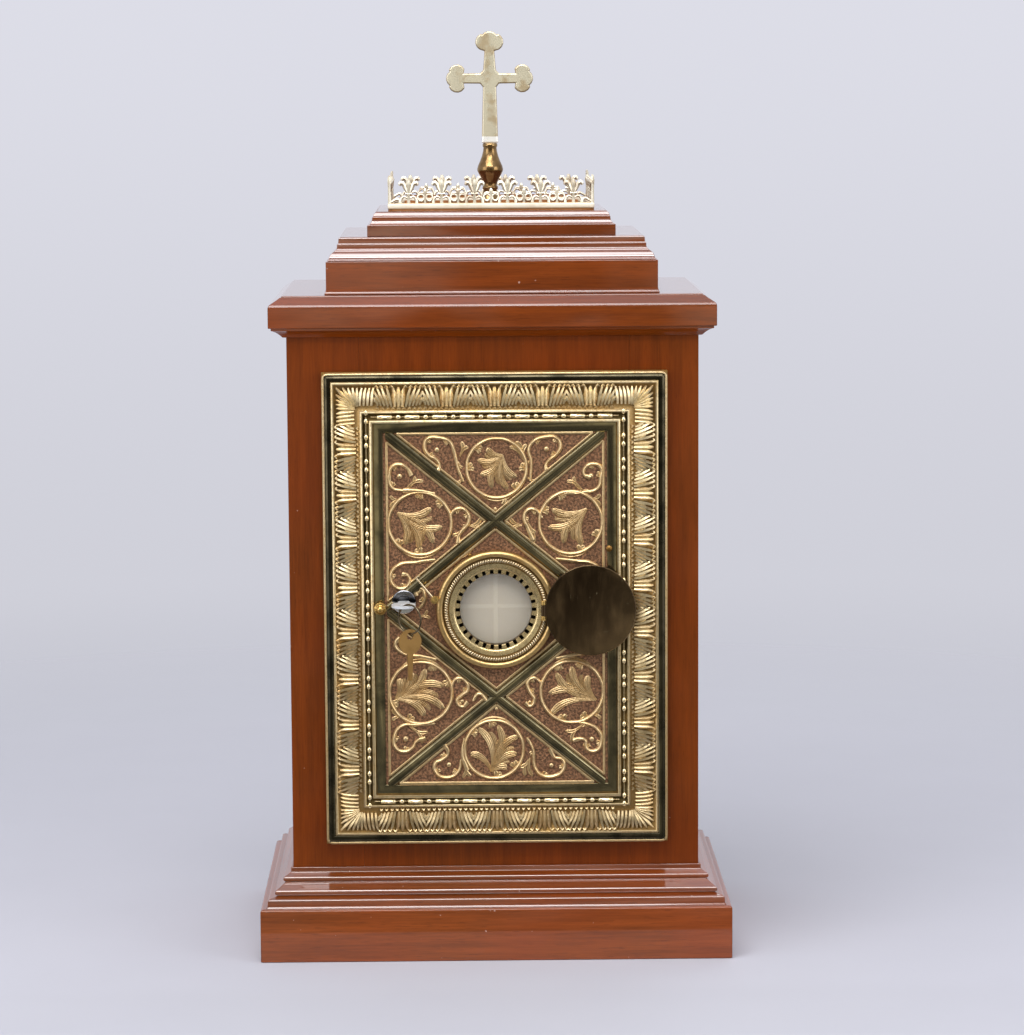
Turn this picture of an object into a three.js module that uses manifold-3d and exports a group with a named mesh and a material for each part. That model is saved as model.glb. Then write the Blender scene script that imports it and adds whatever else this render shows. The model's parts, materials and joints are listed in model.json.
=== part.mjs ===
// An altar tabernacle: a stepped wooden cabinet with a cast brass door, a viewing
// window for the host, a brass gallery and a cross. Millimetres, +Z up, front at -Y.
// The origin is the centre of the plinth's underside.
import * as THREE from "three";
import { mergeVertices } from "three/addons/utils/BufferGeometryUtils.js";
import Module from "manifold-3d";

// Fits shared by every piece, and the sides of its larger and smaller circles
const glueLine = 0.1;
const looseFit = 0.3;
const ringSegments = 40;
const lockSegments = 24;

// Cabinet
const bodyWidth = 341;
const bodyDepth = 220;
const bodyAboveDoor = 54.7;
const sideThickness = 18;
const frontThickness = 19;
const backThickness = 8;
const floorThickness = 12;

// Plinth and base moulding
const plinthOverhang = 27;
const plinthHeight = 44.5;
const plinthThickness = 20;
const plinthArris = 1.2;
const bottomThickness = 12;
const baseMouldingHeight = 31;
const baseMouldingReach = 22.4;

// Cornice
const corniceOverhang = 14.4;
const corniceDrop = 26.4;
const topBoardOverhang = 3.8;
const topBoardThickness = 8.3;

// Stepped top
const friezeWidth = 275;
const friezeDepth = 205;
const friezeHeight = 27.4;
const stepHeight = 19.4;
const capWidth = 207;
const capDepth = 160;
const capHeight = 20.2;

// Gallery
const galleryWidth = 173;
const galleryDepth = 132;
const railHeight = 6;
const railWidth = 4;
const crestThickness = 1.6;
const crestHeight = 24.4;
const crestEnd = 17.5;
const frontBays = 5;
const sideBays = 3;

// Cross and knop
const crossShaftLength = 54.5;
const crossHeadLength = 40;
const crossArmSpan = 74;
const crossThickness = 6;
const budWidth = 24;
const budLength = 15;
const shaftBottomWidth = 14;
const shaftTopWidth = 11.4;
const armBarWidth = 8.4;
const knopHeight = 54.6;
const knopRadius = 11;
const neckRadius = 6.3;
const stemRadius = 4.2;
const knopFootRadius = 14;

// Door
const doorWidth = 286;
const doorHeight = 396;
const doorCentreX = 1.2;
const doorAbovePlinth = 52.8;
const doorGap = 3;
const coreThickness = 6;
const coreInset = 10;
const frameWidth = 42;
const frameLip = 2.5;
const rimHeight = 5.4;
const leafRise = 7;
const sideBorder = 10.4;
const endBorder = 8.1;
const groundThickness = 2;
const borderRise = 0.8;
const bandWidth = 8.4;
const bandRise = 3.2;
const scrollRadius = 26;
const scrollWidth = 3.2;
const scrollRise = 1.6;
const scrollFromSide = 27.9;
const scrollFromEnd = 28.9;
const sideScrollShift = 1.65;
const openingSideOverlap = 31;
const openingEndOverlap = 21;

// Viewing window
const collarRadius = 49.5;
const collarRise = 9.4;
const pearlRadius = 41.6;
const spigotRadius = 44;
const bezelRadius = 36.8;
const sightRadius = 29.8;
const bezelRise = 5.2;
const notchCount = 30;
const notchWidth = 2.8;
const notchDepth = 2;
const notchInner = 31.6;
const notchOuter = 35.9;
const glassThickness = 2;
const hostThickness = 1;
const hostGap = 1.6;
const caseDepth = 17;
const caseWall = 2.6;
const caseFlangeRadius = 43;
const caseFlangeThickness = 2;
const lidThickness = 2;
const lidRadius = 37.5;
const lidHingeReach = 41;
const lidKnuckleRadius = 2;
const lidKnuckleHalf = 4.6;
const lidPinRadius = 0.9;

// Swinging cover and its catch
const coverRadius = 38;
const coverThickness = 2.2;
const coverHingeX = 39.2;
const coverHingeRise = 12.6;
const knuckleRadius = 1.9;
const coverPinRadius = 0.8;
const coverKnuckleLength = 9;
const lugLength = 3.5;
const catchAngle = 168.65;
const catchFromCollar = 1;
const catchLength = 24;
const catchOpenAngle = 130;
const catchWire = 0.8;
const catchPostRadius = 1.3;
const catchBossRadius = 2;
const catchEyeRadius = 2.6;
const catchHeadRadius = 3.4;
const catchHeadThickness = 1.8;

// Cam lock and keys
const lockFromBorder = 14.3;
const lockZ = 7.5;
const lockFaceRadius = 10.1;
const lockFaceRise = 9;
const lockBarrelRadius = 8.2;
const plugRadius = 5.4;
const nutAcross = 22;
const nutThickness = 4;
const camThickness = 2.4;
const camReach = 45;
const camWidth = 13;
const camSquare = 6;
const keyThickness = 2.2;
const keyBladeWidth = 7.4;
const keyBladeDepth = 24;
const keyNeck = 8;
const bowWidth = 20;
const bowLength = 24;
const bowHoleRadius = 4;
const bowHoleShift = 5;
const ringRadius = 12;
const ringWire = 0.8;
const ringTurn = 40;
const spareTurn = 20;
const spareBowWidth = 19.4;
const spareBowHeight = 21;
const spareHoleRadius = 3;
const spareBladeWidth = 5;
const spareLength = 42.6;

// Pull knob
const knobFromFrame = 5.1;
const knobZ = 2.3;
const knobRadius = 5.4;
const knobRise = 14;

// Door hinges
const hingeInset = 4;
const hingeLength = 50;
const hingeFromEnd = 68;
const hingeBarrelRadius = 2.6;
const hingePinRadius = 1.2;
const hingeLeafThickness = 1.2;
const hingeLeafWidth = 16;
const middleKnuckle = 20;

// Levels and planes worked out from the sizes above
const halfBodyW = bodyWidth / 2;
const halfBodyD = bodyDepth / 2;
const doorCentreZ = plinthHeight + doorAbovePlinth + doorHeight / 2;
const bodyTop = doorCentreZ + doorHeight / 2 + bodyAboveDoor;
const topBoardTop = bodyTop + glueLine + topBoardThickness;
const friezeBottom = topBoardTop + glueLine;
const stepBottom = friezeBottom + friezeHeight + glueLine;
const capBottom = stepBottom + stepHeight + glueLine;
const capTop = capBottom + capHeight;
const crossFoot = capTop + glueLine + knopHeight + glueLine;
const crossArmHeight = crossFoot + crossShaftLength;
const openingHalfW = doorWidth / 2 - openingSideOverlap;
const openingHalfH = doorHeight / 2 - openingEndOverlap;
const openingBottom = doorCentreZ - openingHalfH;
const openingTop = doorCentreZ + openingHalfH;
const coreBack = -halfBodyD - doorGap;
const plateBack = coreBack - coreThickness;
const panelHalfW = doorWidth / 2 - frameWidth;
const panelHalfH = doorHeight / 2 - frameWidth;
const fieldHalfW = panelHalfW - sideBorder;
const fieldHalfH = panelHalfH - endBorder;
const catchReach = collarRadius + catchFromCollar + catchPostRadius;
const catchX = catchReach * Math.cos((catchAngle * Math.PI) / 180);
const catchZ = catchReach * Math.sin((catchAngle * Math.PI) / 180);
const lockX = lockFromBorder - fieldHalfW;
const knobX = knobFromFrame - panelHalfW;
const camFront = -halfBodyD + frontThickness + looseFit;
const hingeZ = doorHeight / 2 - hingeFromEnd;
const hingeX = doorWidth / 2 - hingeInset;
const hingeY = coreBack - hingeBarrelRadius - 2 * looseFit;

// Manifold joins and cuts closed solids
const wasm = await Module();
wasm.setup();

// Finishes
const walnut = { color: 0x7a3a1a, roughness: 0.28, metalness: 0 };
const paleWalnut = { color: 0x8c452a, roughness: 0.32, metalness: 0 };
const innerWood = { color: 0x9a6a44, roughness: 0.7, metalness: 0 };
const castBrass = { color: 0xa89468, roughness: 0.35, metalness: 1 };
const copperBrass = { color: 0x7b5a48, roughness: 0.45, metalness: 1 };
const brightBrass = { color: 0xd8c690, roughness: 0.22, metalness: 1 };
const darkBrass = { color: 0x6a5c44, roughness: 0.15, metalness: 1 };
const steel = { color: 0x8d9093, roughness: 0.4, metalness: 1 };
const chrome = { color: 0xd6d9dc, roughness: 0.1, metalness: 1 };
const clearGlass = { color: 0xdfe6e4, roughness: 0.05, metalness: 0 };
const paleWafer = { color: 0xdcd8cf, roughness: 0.8, metalness: 0 };

const part = new THREE.Group();
const door = new THREE.Group();
door.position.set(doorCentreX, 0, doorCentreZ);
part.add(door);

function piece(name, geometry, finish, parent = part) {
  const mesh = new THREE.Mesh(geometry, new THREE.MeshStandardMaterial(finish));
  mesh.name = name;
  parent.add(mesh);
  return mesh;
}

// Plain solids

function slab(x0, x1, y0, y1, z0, z1) {
  const geometry = new THREE.BoxGeometry(x1 - x0, y1 - y0, z1 - z0);
  geometry.translate((x0 + x1) / 2, (y0 + y1) / 2, (z0 + z1) / 2);
  return geometry;
}

function outline(points) {
  return new THREE.Shape(points.map(([a, b]) => new THREE.Vector2(a, b)));
}

function arc(cx, cy, radius, from, to, steps) {
  const points = [];
  for (let i = 0; i <= steps; i += 1) {
    const angle = THREE.MathUtils.degToRad(from + ((to - from) * i) / steps);
    points.push([cx + radius * Math.cos(angle), cy + radius * Math.sin(angle)]);
  }
  return points;
}

function remap(geometry, place) {
  const position = geometry.attributes.position;
  for (let i = 0; i < position.count; i += 1) {
    const at = place(position.getX(i), position.getY(i), position.getZ(i));
    position.setXYZ(i, ...at);
  }
  geometry.computeVertexNormals();
  return geometry;
}

// Turns a solid about Z by whole quarter turns, without rounding
function quarterTurned(geometry, turns) {
  let turned = geometry;
  for (let i = 0; i < turns; i += 1) {
    turned = remap(turned, (x, y, z) => [-y, x, z]);
  }
  return turned;
}

// One side of a mitred moulding: profile points are [outward, up], and the side
// runs along X at y = -(halfAcross + outward).
function mitredSide(profile, halfRun, halfAcross) {
  const geometry = new THREE.ExtrudeGeometry(outline(profile), { depth: 1, bevelEnabled: false });
  return remap(geometry, (out, up, t) => [
    (1 - 2 * t) * (halfRun + out - glueLine),
    -(halfAcross + out),
    up,
  ]);
}

function fourSides(stem, profile, halfW, halfD, finish) {
  const sides = ["front", "right", "rear", "left"];
  sides.forEach((side, turns) => {
    const alongX = turns % 2 === 0;
    const run = alongX ? halfW : halfD;
    const across = alongX ? halfD : halfW;
    piece(`${stem}_${side}`, quarterTurned(mitredSide(profile, run, across), turns), finish);
  });
}

// A rectangular block whose four sides follow one profile of [inset, up]
function steppedBlock(profile, halfW, halfD) {
  const rings = profile.map(([inset, up]) => new THREE.Vector2(halfW - inset, up));
  const bottom = new THREE.Vector2(0, profile[0][1]);
  const top = new THREE.Vector2(0, profile[profile.length - 1][1]);
  const lathe = new THREE.LatheGeometry([bottom, ...rings, top], 4, Math.PI / 4);
  return remap(lathe, (x, y, z) => {
    const reach = Math.hypot(x, z);
    if (reach < 1e-6) return [0, 0, y];
    return [Math.sign(x) * reach, -Math.sign(z) * (reach + halfD - halfW), y];
  });
}

// A turned solid about Z from [radius, up] points
function turnedUpright(profile, segments) {
  const points = profile.map(([r, up]) => new THREE.Vector2(r, up));
  return new THREE.LatheGeometry(points, segments).rotateX(Math.PI / 2);
}

// A turned solid about Y, given as [radius, rise] with rise measured forwards
// from the back plane of the brass plate.
function turnedOnDoor(profile, segments, x = 0, z = 0) {
  const points = profile.map(([r, rise]) => new THREE.Vector2(r, rise));
  const lathe = new THREE.LatheGeometry(points, segments).rotateX(Math.PI);
  return lathe.translate(x, plateBack, z);
}

function ringOnDoor(inner, outer, low, high, segments, x = 0, z = 0) {
  const profile = [[inner, low], [outer, low], [outer, high], [inner, high], [inner, low]];
  return turnedOnDoor(profile, segments, x, z);
}

function discOnDoor(radius, low, high, segments, x = 0, z = 0) {
  return turnedOnDoor([[0, low], [radius, low], [radius, high], [0, high]], segments, x, z);
}

// A flat outline in the door's plane, thickened between two rises
function plateOnDoor(shape, low, high) {
  const geometry = new THREE.ExtrudeGeometry(shape, {
    depth: high - low, bevelEnabled: false, curveSegments: 24,
  });
  return remap(geometry, (x, up, t) => [x, plateBack - low - t, up]);
}

function uprightRod(radius, z0, z1, segments, x, y) {
  const geometry = new THREE.CylinderGeometry(radius, radius, z1 - z0, segments);
  return geometry.rotateX(Math.PI / 2).translate(x, y, (z0 + z1) / 2);
}

// Joins and cuts

function toSolid(geometry) {
  const bare = geometry.clone();
  bare.deleteAttribute("normal");
  bare.deleteAttribute("uv");
  const merged = mergeVertices(bare, 1e-4);
  const vertProperties = Float32Array.from(merged.attributes.position.array);
  const triVerts = Uint32Array.from(merged.index.array);
  return new wasm.Manifold(new wasm.Mesh({ numProp: 3, vertProperties, triVerts }));
}

function toGeometry(solid) {
  const mesh = solid.getMesh();
  const geometry = new THREE.BufferGeometry();
  geometry.setAttribute("position", new THREE.BufferAttribute(mesh.vertProperties, 3));
  geometry.setIndex(new THREE.BufferAttribute(mesh.triVerts, 1));
  geometry.computeVertexNormals();
  return geometry;
}

function joined(...geometries) {
  const solids = geometries.map(toSolid);
  return toGeometry(solids.reduce((whole, next) => whole.add(next)));
}

function cut(geometry, ...tools) {
  return toGeometry(tools.map(toSolid).reduce((left, tool) => left.subtract(tool), toSolid(geometry)));
}

// Plinth: four mitred boards round a bottom board that the tabernacle rests on

function buildPlinth() {
  const board = [
    [plinthOverhang - plinthThickness, 0],
    [plinthOverhang, 0],
    [plinthOverhang, plinthHeight - plinthArris],
    [plinthOverhang - plinthArris, plinthHeight],
    [plinthOverhang - plinthThickness, plinthHeight],
  ];
  fourSides("plinth_board", board, halfBodyW, halfBodyD, paleWalnut);
  const inner = plinthOverhang - plinthThickness - glueLine;
  const halfW = halfBodyW + inner;
  const halfD = halfBodyD + inner;
  piece("bottom_board", slab(-halfW, halfW, -halfD, halfD, 0, bottomThickness), innerWood);
}

// Base moulding: a fillet, two beads and a fillet stepping out to the plinth

function buildBaseMoulding() {
  const foot = plinthHeight + glueLine;
  const drawing = [
    [22.4, 0], [21.2, 1.4], [20.9, 6.6], [19.6, 7.6], [14.6, 8.6],
    ...arc(12.6, 11.9, 2.6, -80, 80, 6),
    [11.9, 15.4], [9.4, 17.2], [7.6, 18.6],
    ...arc(6.1, 22.2, 2.3, -80, 80, 6),
    [4.4, 25.6], [2.2, 27], [2.2, 31],
  ];
  const profile = [
    [glueLine, foot],
    ...stretched(drawing, baseMouldingReach / 22.4, baseMouldingHeight / 31, foot),
    [glueLine, foot + baseMouldingHeight],
  ];
  fourSides("base_moulding", profile, halfBodyW, halfBodyD, walnut);
}

// A drawn moulding at its named size
function stretched(drawing, outwards, upwards, foot) {
  return drawing.map(([out, up]) => [out * outwards, foot + up * upwards]);
}

// Cabinet: sides, back, front frame and floor

function buildCabinet() {
  const z0 = plinthHeight + glueLine;
  const sideFront = -halfBodyD + frontThickness + glueLine;
  const innerW = halfBodyW - sideThickness;
  piece("left_side_panel", slab(-halfBodyW, -innerW, sideFront, halfBodyD, z0, bodyTop), walnut);
  piece("right_side_panel", slab(innerW, halfBodyW, sideFront, halfBodyD, z0, bodyTop), walnut);
  const backW = innerW - glueLine;
  piece("back_panel", slab(-backW, backW, halfBodyD - backThickness, halfBodyD, z0, bodyTop), walnut);
  buildFrontFrame(z0, sideFront - glueLine);
  const floorBack = halfBodyD - backThickness - glueLine;
  const floorTop = openingBottom;
  piece("cabinet_floor", slab(-backW, backW, sideFront, floorBack, floorTop - floorThickness, floorTop), innerWood);
}

function buildFrontFrame(z0, back) {
  const front = -halfBodyD;
  const left = doorCentreX - openingHalfW;
  const right = doorCentreX + openingHalfW;
  piece("front_stile_left", slab(-halfBodyW, left, front, back, z0, bodyTop), walnut);
  piece("front_stile_right", slab(right, halfBodyW, front, back, z0, bodyTop), walnut);
  const x0 = left + glueLine;
  const x1 = right - glueLine;
  piece("front_rail_bottom", slab(x0, x1, front, back, z0, openingBottom), walnut);
  piece("front_rail_top", slab(x0, x1, front, back, openingTop, bodyTop), walnut);
}

// Cornice: a top board with mitred mouldings under and round its edge

function buildCornice() {
  const board = [
    [0.8, bodyTop + glueLine],
    [0, bodyTop + glueLine + 0.8],
    [0, topBoardTop - 0.8],
    [0.8, topBoardTop],
  ];
  const halfW = halfBodyW + topBoardOverhang;
  const halfD = halfBodyD + topBoardOverhang;
  piece("top_board", steppedBlock(board, halfW, halfD), walnut);
  const edge = topBoardOverhang + glueLine;
  const foot = bodyTop - corniceDrop;
  const fascia = [
    [3, 0.5], [5.6, 3.1], [8.2, 5], [10.8, 6.2], [12.1, 6.5], [12.1, 8.4], [13.9, 8.5], [14.4, 9],
    ...arc(10.2, 24.8, 4.2, 0, 60, 5),
  ];
  const shoulder = [[10, 3.5], [7, 5.4], [4.7, 7.1]];
  const outwards = corniceOverhang / 14.4;
  const shoulderRise = (topBoardThickness - 1.2) / 7.1;
  const profile = [
    [glueLine, foot],
    ...stretched(fascia, outwards, corniceDrop / 26.4, foot),
    ...stretched(shoulder, outwards, shoulderRise, bodyTop),
    [edge, bodyTop + 7.1 * shoulderRise], [edge, bodyTop], [glueLine, bodyTop],
  ];
  fourSides("cornice_moulding", profile, halfBodyW, halfBodyD, walnut);
}

// Stepped top: frieze box, step moulding and cap, one above the other

function buildSteppedTop() {
  const frieze = [
    [-1.3, friezeBottom], [-1.3, friezeBottom + 0.8],
    [-0.5, friezeBottom + 2.2], [0, friezeBottom + 4.2],
    [0, friezeBottom + friezeHeight - 0.5], [0.5, friezeBottom + friezeHeight],
  ];
  piece("frieze_box", steppedBlock(frieze, friezeWidth / 2, friezeDepth / 2), walnut);
  const s = stepBottom;
  const top = s + stepHeight;
  const step = [
    [1.4, s], [1.4, s + 0.9], [2.4, s + 1.2],
    [2.9, s + 3.2], [3.9, s + 5.2], [5.5, s + 6.9], [7.2, s + 7.8],
    [7.5, s + 8.6], [8.6, s + 9.2], [9.2, s + 11], [9.2, s + 13.4],
    [9.9, s + 13.7], [10.2, s + 14.4],
    [10.4, top - 1.6], [10.9, top - 0.5], [12, top],
  ];
  piece("step_moulding", steppedBlock(step, friezeWidth / 2, friezeDepth / 2), walnut);
  const c = capBottom;
  const cap = [
    [0, c], [0, c + 9], [1.2, c + 9.4], [2.7, c + 10.2], [3.6, c + 11.6],
    [4.1, c + 13.4], [4.3, c + 15.6],
    [4.9, c + 15.8], [5.1, c + 17.1], [5.9, c + 18.7], [7.2, c + 19.8], [8.8, capTop],
  ];
  piece("cap_block", steppedBlock(cap, capWidth / 2, capDepth / 2), walnut);
}

// Gallery: four pierced crestings of palmettes, each with its foot rail

function palmette(x, height) {
  const w = height * 0.29;
  const h = height;
  const right = [
    [0.09, 0.3], [0.16, 0.46], [0.86, 0.67], [1, 0.8], [0.66, 0.82], [0.62, 0.93], [0.22, 1],
  ].map(([a, b]) => [a * w, b * h]);
  const left = right.slice().reverse().map(([a, b]) => [-a, b]);
  return [...right, ...left].map(([a, b]) => [x + a, b]);
}

function crestOutline(bays, bay, halfRun) {
  const start = (-bays * bay) / 2;
  const top = [];
  for (let i = 0; i <= bays; i += 1) {
    const x = start + i * bay;
    top.push([x - bay * 0.3, crestHeight * 0.1]);
    top.push([x - bay * 0.2, crestHeight * 0.22]);
    top.push(...palmette(x, crestHeight).reverse());
    top.push([x + bay * 0.2, crestHeight * 0.22]);
    if (i < bays) top.push(...smallLeaf(x + bay / 2, bay));
  }
  top.push([start + bays * bay + bay * 0.3, crestHeight * 0.1]);
  return [[-halfRun, -0.4], [-halfRun, 1.2], ...top, [halfRun, 1.2], [halfRun, -0.4]];
}

function smallLeaf(x, bay) {
  const h = crestHeight * 0.6;
  const w = bay * 0.24;
  return [
    [-1, 0.3], [-1.15, 0.5], [-0.45, 0.76], [-0.3, 0.98],
    [0.3, 0.98], [0.45, 0.76], [1.15, 0.5], [1, 0.3],
  ].map(([a, b]) => [x + a * w, b * h]);
}

function crestHoles(bays, bay) {
  const start = (-bays * bay) / 2;
  const eye = crestHeight * 0.078;
  const holes = [];
  for (let i = 0; i < bays; i += 1) {
    const x = start + (i + 0.5) * bay;
    for (const side of [-1, 1]) {
      holes.push(outline(arc(x + side * bay * 0.112, crestHeight * 0.27, eye, 0, 300, 5)));
    }
  }
  for (let i = 0; i <= bays; i += 1) {
    holes.push(outline(arc(start + i * bay, crestHeight * 0.11, eye * 1.1, 90, 378, 4)));
  }
  return holes;
}

function galleryStrip(bays, halfRun) {
  const bay = (2 * (halfRun - crestEnd)) / bays;
  const crest = outline(crestOutline(bays, bay, halfRun - railWidth));
  crest.holes = crestHoles(bays, bay);
  const sheet = new THREE.ExtrudeGeometry(crest, { depth: crestThickness, bevelEnabled: false });
  const inset = (railWidth - crestThickness) / 2;
  const railTop = railHeight - 0.2;
  remap(sheet, (x, up, t) => [x, -inset - t, railTop + up]);
  const rail = remap(
    new THREE.ExtrudeGeometry(outline([
      [0, 0], [railWidth, 0], [railWidth, 1.4], [railWidth - 0.6, 2.2],
      [railWidth - 0.6, railHeight - 1], [railWidth - 1.2, railHeight], [0, railHeight],
    ]), { depth: 1, bevelEnabled: false }),
    (out, up, t) => [(1 - 2 * t) * (halfRun - railWidth + out - glueLine), -out, up],
  );
  return joined(rail, sheet);
}

function buildGallery() {
  const z = capTop + glueLine;
  const halfW = galleryWidth / 2;
  const halfD = galleryDepth / 2;
  ["front", "right", "rear", "left"].forEach((side, turns) => {
    const alongX = turns % 2 === 0;
    const run = alongX ? halfW : halfD;
    const across = alongX ? halfD : halfW;
    const strip = galleryStrip(alongX ? frontBays : sideBays, run);
    strip.translate(0, -(across - railWidth), z);
    piece(`gallery_${side}`, quarterTurned(strip, turns), brightBrass);
  });
}

// Cross on its knop

function budEnd(length, reach) {
  const lobe = budWidth * 0.31;
  const mid = reach - lobe * 1.25;
  return [
    [length, -armBarWidth / 2],
    ...arc(mid, -budWidth / 2 + lobe, lobe, -150, -20, 5),
    ...arc(reach - lobe, 0, lobe, -55, 55, 5),
    ...arc(mid, budWidth / 2 - lobe, lobe, 20, 150, 5),
    [length, armBarWidth / 2],
  ];
}

function crossOutline() {
  const halfSpan = crossArmSpan / 2;
  const right = budEnd(halfSpan - budLength, halfSpan).map(([a, b]) => [a, crossArmHeight + b]);
  const head = budEnd(crossHeadLength - budLength - 2, crossHeadLength);
  const top = head.map(([a, b]) => [-b, crossArmHeight + a]);
  const left = right.map(([a, b]) => [-a, 2 * crossArmHeight - b]);
  const hub = armBarWidth / 2 + 1.2;
  return [
    [-shaftBottomWidth / 2, crossFoot], [shaftBottomWidth / 2, crossFoot],
    [shaftTopWidth / 2, crossArmHeight - hub - 2],
    [hub + 2.6, crossArmHeight - hub + 1],
    ...right,
    [hub + 2.6, crossArmHeight + hub - 1], [hub, crossArmHeight + hub + 1.6],
    ...top,
    [-hub, crossArmHeight + hub + 1.6], [-hub - 2.6, crossArmHeight + hub - 1],
    ...left,
    [-hub - 2.6, crossArmHeight - hub + 1],
    [-shaftTopWidth / 2, crossArmHeight - hub - 2],
  ];
}

function buildCross() {
  const geometry = new THREE.ExtrudeGeometry(outline(crossOutline()), {
    depth: crossThickness - 2, bevelEnabled: true, bevelThickness: 1,
    bevelSize: 0.8, bevelOffset: -0.8, bevelSegments: 1,
  });
  geometry.translate(0, 0, -(crossThickness - 2) / 2).rotateX(Math.PI / 2);
  piece("altar_cross", geometry, brightBrass);
  const z = capTop + glueLine;
  const h = knopHeight;
  const profile = [
    [0, 0], [knopFootRadius, 0], [knopFootRadius, 1.6], [knopFootRadius * 0.6, 3.4],
    [stemRadius, 5.2], [stemRadius, h - 33.5], [stemRadius + 1.6, h - 31.6],
    [stemRadius + 1.2, h - 30], [knopRadius * 0.82, h - 26], [knopRadius, h - 21],
    [knopRadius * 0.98, h - 18], [knopRadius * 0.88, h - 13], [knopRadius * 0.7, h - 8],
    [neckRadius, h - 4.2], [neckRadius * 0.86, h - 3], [neckRadius, h - 1.4],
    [neckRadius, h], [0, h],
  ].map(([r, up]) => [r, z + up]);
  piece("cross_knop", turnedUpright(profile, 20), castBrass);
}

// Door: core board, four mitred frame mouldings and the cast panel

function doorFrameProfile() {
  const inner = frameWidth - looseFit;
  return [
    [0, -coreThickness], [frameLip, -coreThickness], [frameLip, glueLine], [inner, glueLine],
    [inner, 6.6], [inner - 0.7, 7.1], [inner - 1.5, 6.6], [inner - 2, 5.2],
    [frameWidth - 6.8, 5.2], [frameWidth - 7.3, 7.6], [frameWidth - 8, 8],
    [frameWidth - 9.8, 8], [frameWidth - 10.6, leafRise],
    [26, leafRise - 0.3], [20, leafRise - 1.1], [14, leafRise - 2.8], [10.4, leafRise - 4.2],
    [9.9, 3.9], [8.7, 3.9], [8.2, 3],
    [7.4, rimHeight - 0.9], [6, rimHeight - 0.2], [4.4, rimHeight], [2.8, rimHeight - 0.7],
    [1.3, rimHeight - 2], [0.4, rimHeight - 3.8], [0, rimHeight - 5.6],
  ];
}

function frameMember(halfRun, halfAcross) {
  const shape = outline(doorFrameProfile());
  const geometry = new THREE.ExtrudeGeometry(shape, { depth: 1, bevelEnabled: false });
  return remap(geometry, (inward, rise, t) => [
    (1 - 2 * t) * (halfRun - inward - glueLine),
    plateBack - rise,
    halfAcross - inward,
  ]);
}

function hingeNotch(z) {
  const reach = hingeBarrelRadius + looseFit * 2;
  const half = hingeLength / 2 + looseFit * 2;
  return slab(hingeX - reach, doorWidth / 2 + 1, plateBack - looseFit - 0.4, coreBack + 1, z - half, z + half);
}

function buildDoorFrame() {
  const halfW = doorWidth / 2;
  const halfH = doorHeight / 2;
  const top = frameMember(halfW, halfH);
  const bottom = remap(frameMember(halfW, halfH), (x, y, z) => [-x, y, -z]);
  const side = frameMember(halfH, halfW);
  const right = remap(side.clone(), (x, y, z) => [z, y, -x]);
  const left = remap(side.clone(), (x, y, z) => [-z, y, x]);
  piece("door_frame_top", top, castBrass, door);
  piece("door_frame_bottom", bottom, castBrass, door);
  piece("door_frame_left", left, castBrass, door);
  const notched = cut(right, hingeNotch(hingeZ), hingeNotch(-hingeZ));
  piece("door_frame_right", notched, castBrass, door);
}

function buildDoorCore() {
  const halfW = doorWidth / 2 - coreInset;
  const halfH = doorHeight / 2 - coreInset;
  const board = slab(-halfW, halfW, plateBack, coreBack, -halfH, halfH);
  const bore = discOnDoor(bezelRadius + looseFit, -coreThickness - 1, 1, ringSegments);
  const lockBore = discOnDoor(lockBarrelRadius + looseFit, -coreThickness - 1, 1, 24, lockX, lockZ);
  const knobBore = discOnDoor(1.8, -coreThickness - 1, 1, 12, knobX, knobZ);
  piece("door_core", cut(board, bore, lockBore, knobBore), steel, door);
}

// A raised band from one point of the field to another
function fieldBand(x0, z0, x1, z1) {
  const half = bandWidth / 2;
  const base = groundThickness - 0.4;
  const top = groundThickness + bandRise;
  const profile = outline([
    [-half, base], [half, base], [half, base + 0.8], [half * 0.72, top - 0.7],
    [half * 0.36, top], [-half * 0.36, top], [-half * 0.72, top - 0.7], [-half, base + 0.8],
  ]);
  const length = Math.hypot(x1 - x0, z1 - z0);
  const geometry = new THREE.ExtrudeGeometry(profile, { depth: length, bevelEnabled: false });
  const ux = (x1 - x0) / length;
  const uz = (z1 - z0) / length;
  return remap(geometry, (side, rise, along) => [
    x0 + ux * along - uz * side,
    plateBack - rise,
    z0 + uz * along + ux * side,
  ]);
}

function saltire(sign) {
  const x = fieldHalfW;
  const z = sign * fieldHalfH;
  return [fieldBand(-x, z, x, 0), fieldBand(-x, 0, x, z)];
}

function scrollRings() {
  const base = groundThickness - 0.4;
  const top = groundThickness + scrollRise;
  const endZ = fieldHalfH - scrollFromEnd;
  const sideX = fieldHalfW - scrollFromSide;
  const sideZ = fieldHalfH / 2 - sideScrollShift;
  const places = [[0, endZ], [0, -endZ]];
  for (const sx of [-1, 1]) {
    for (const sz of [-1, 1]) places.push([sx * sideX, sz * sideZ]);
  }
  return places.map(([x, z]) =>
    ringOnDoor(scrollRadius - scrollWidth / 2, scrollRadius + scrollWidth / 2, base, top, 20, x, z));
}

function fieldBorder() {
  const border = new THREE.Shape();
  const w = panelHalfW - looseFit;
  const h = panelHalfH - looseFit;
  border.moveTo(-w, -h).lineTo(w, -h).lineTo(w, h).lineTo(-w, h);
  const field = new THREE.Path();
  field.moveTo(-fieldHalfW, -fieldHalfH).lineTo(-fieldHalfW, fieldHalfH);
  field.lineTo(fieldHalfW, fieldHalfH).lineTo(fieldHalfW, -fieldHalfH);
  border.holes.push(field);
  return plateOnDoor(border, groundThickness - 0.4, groundThickness + borderRise);
}

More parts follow.
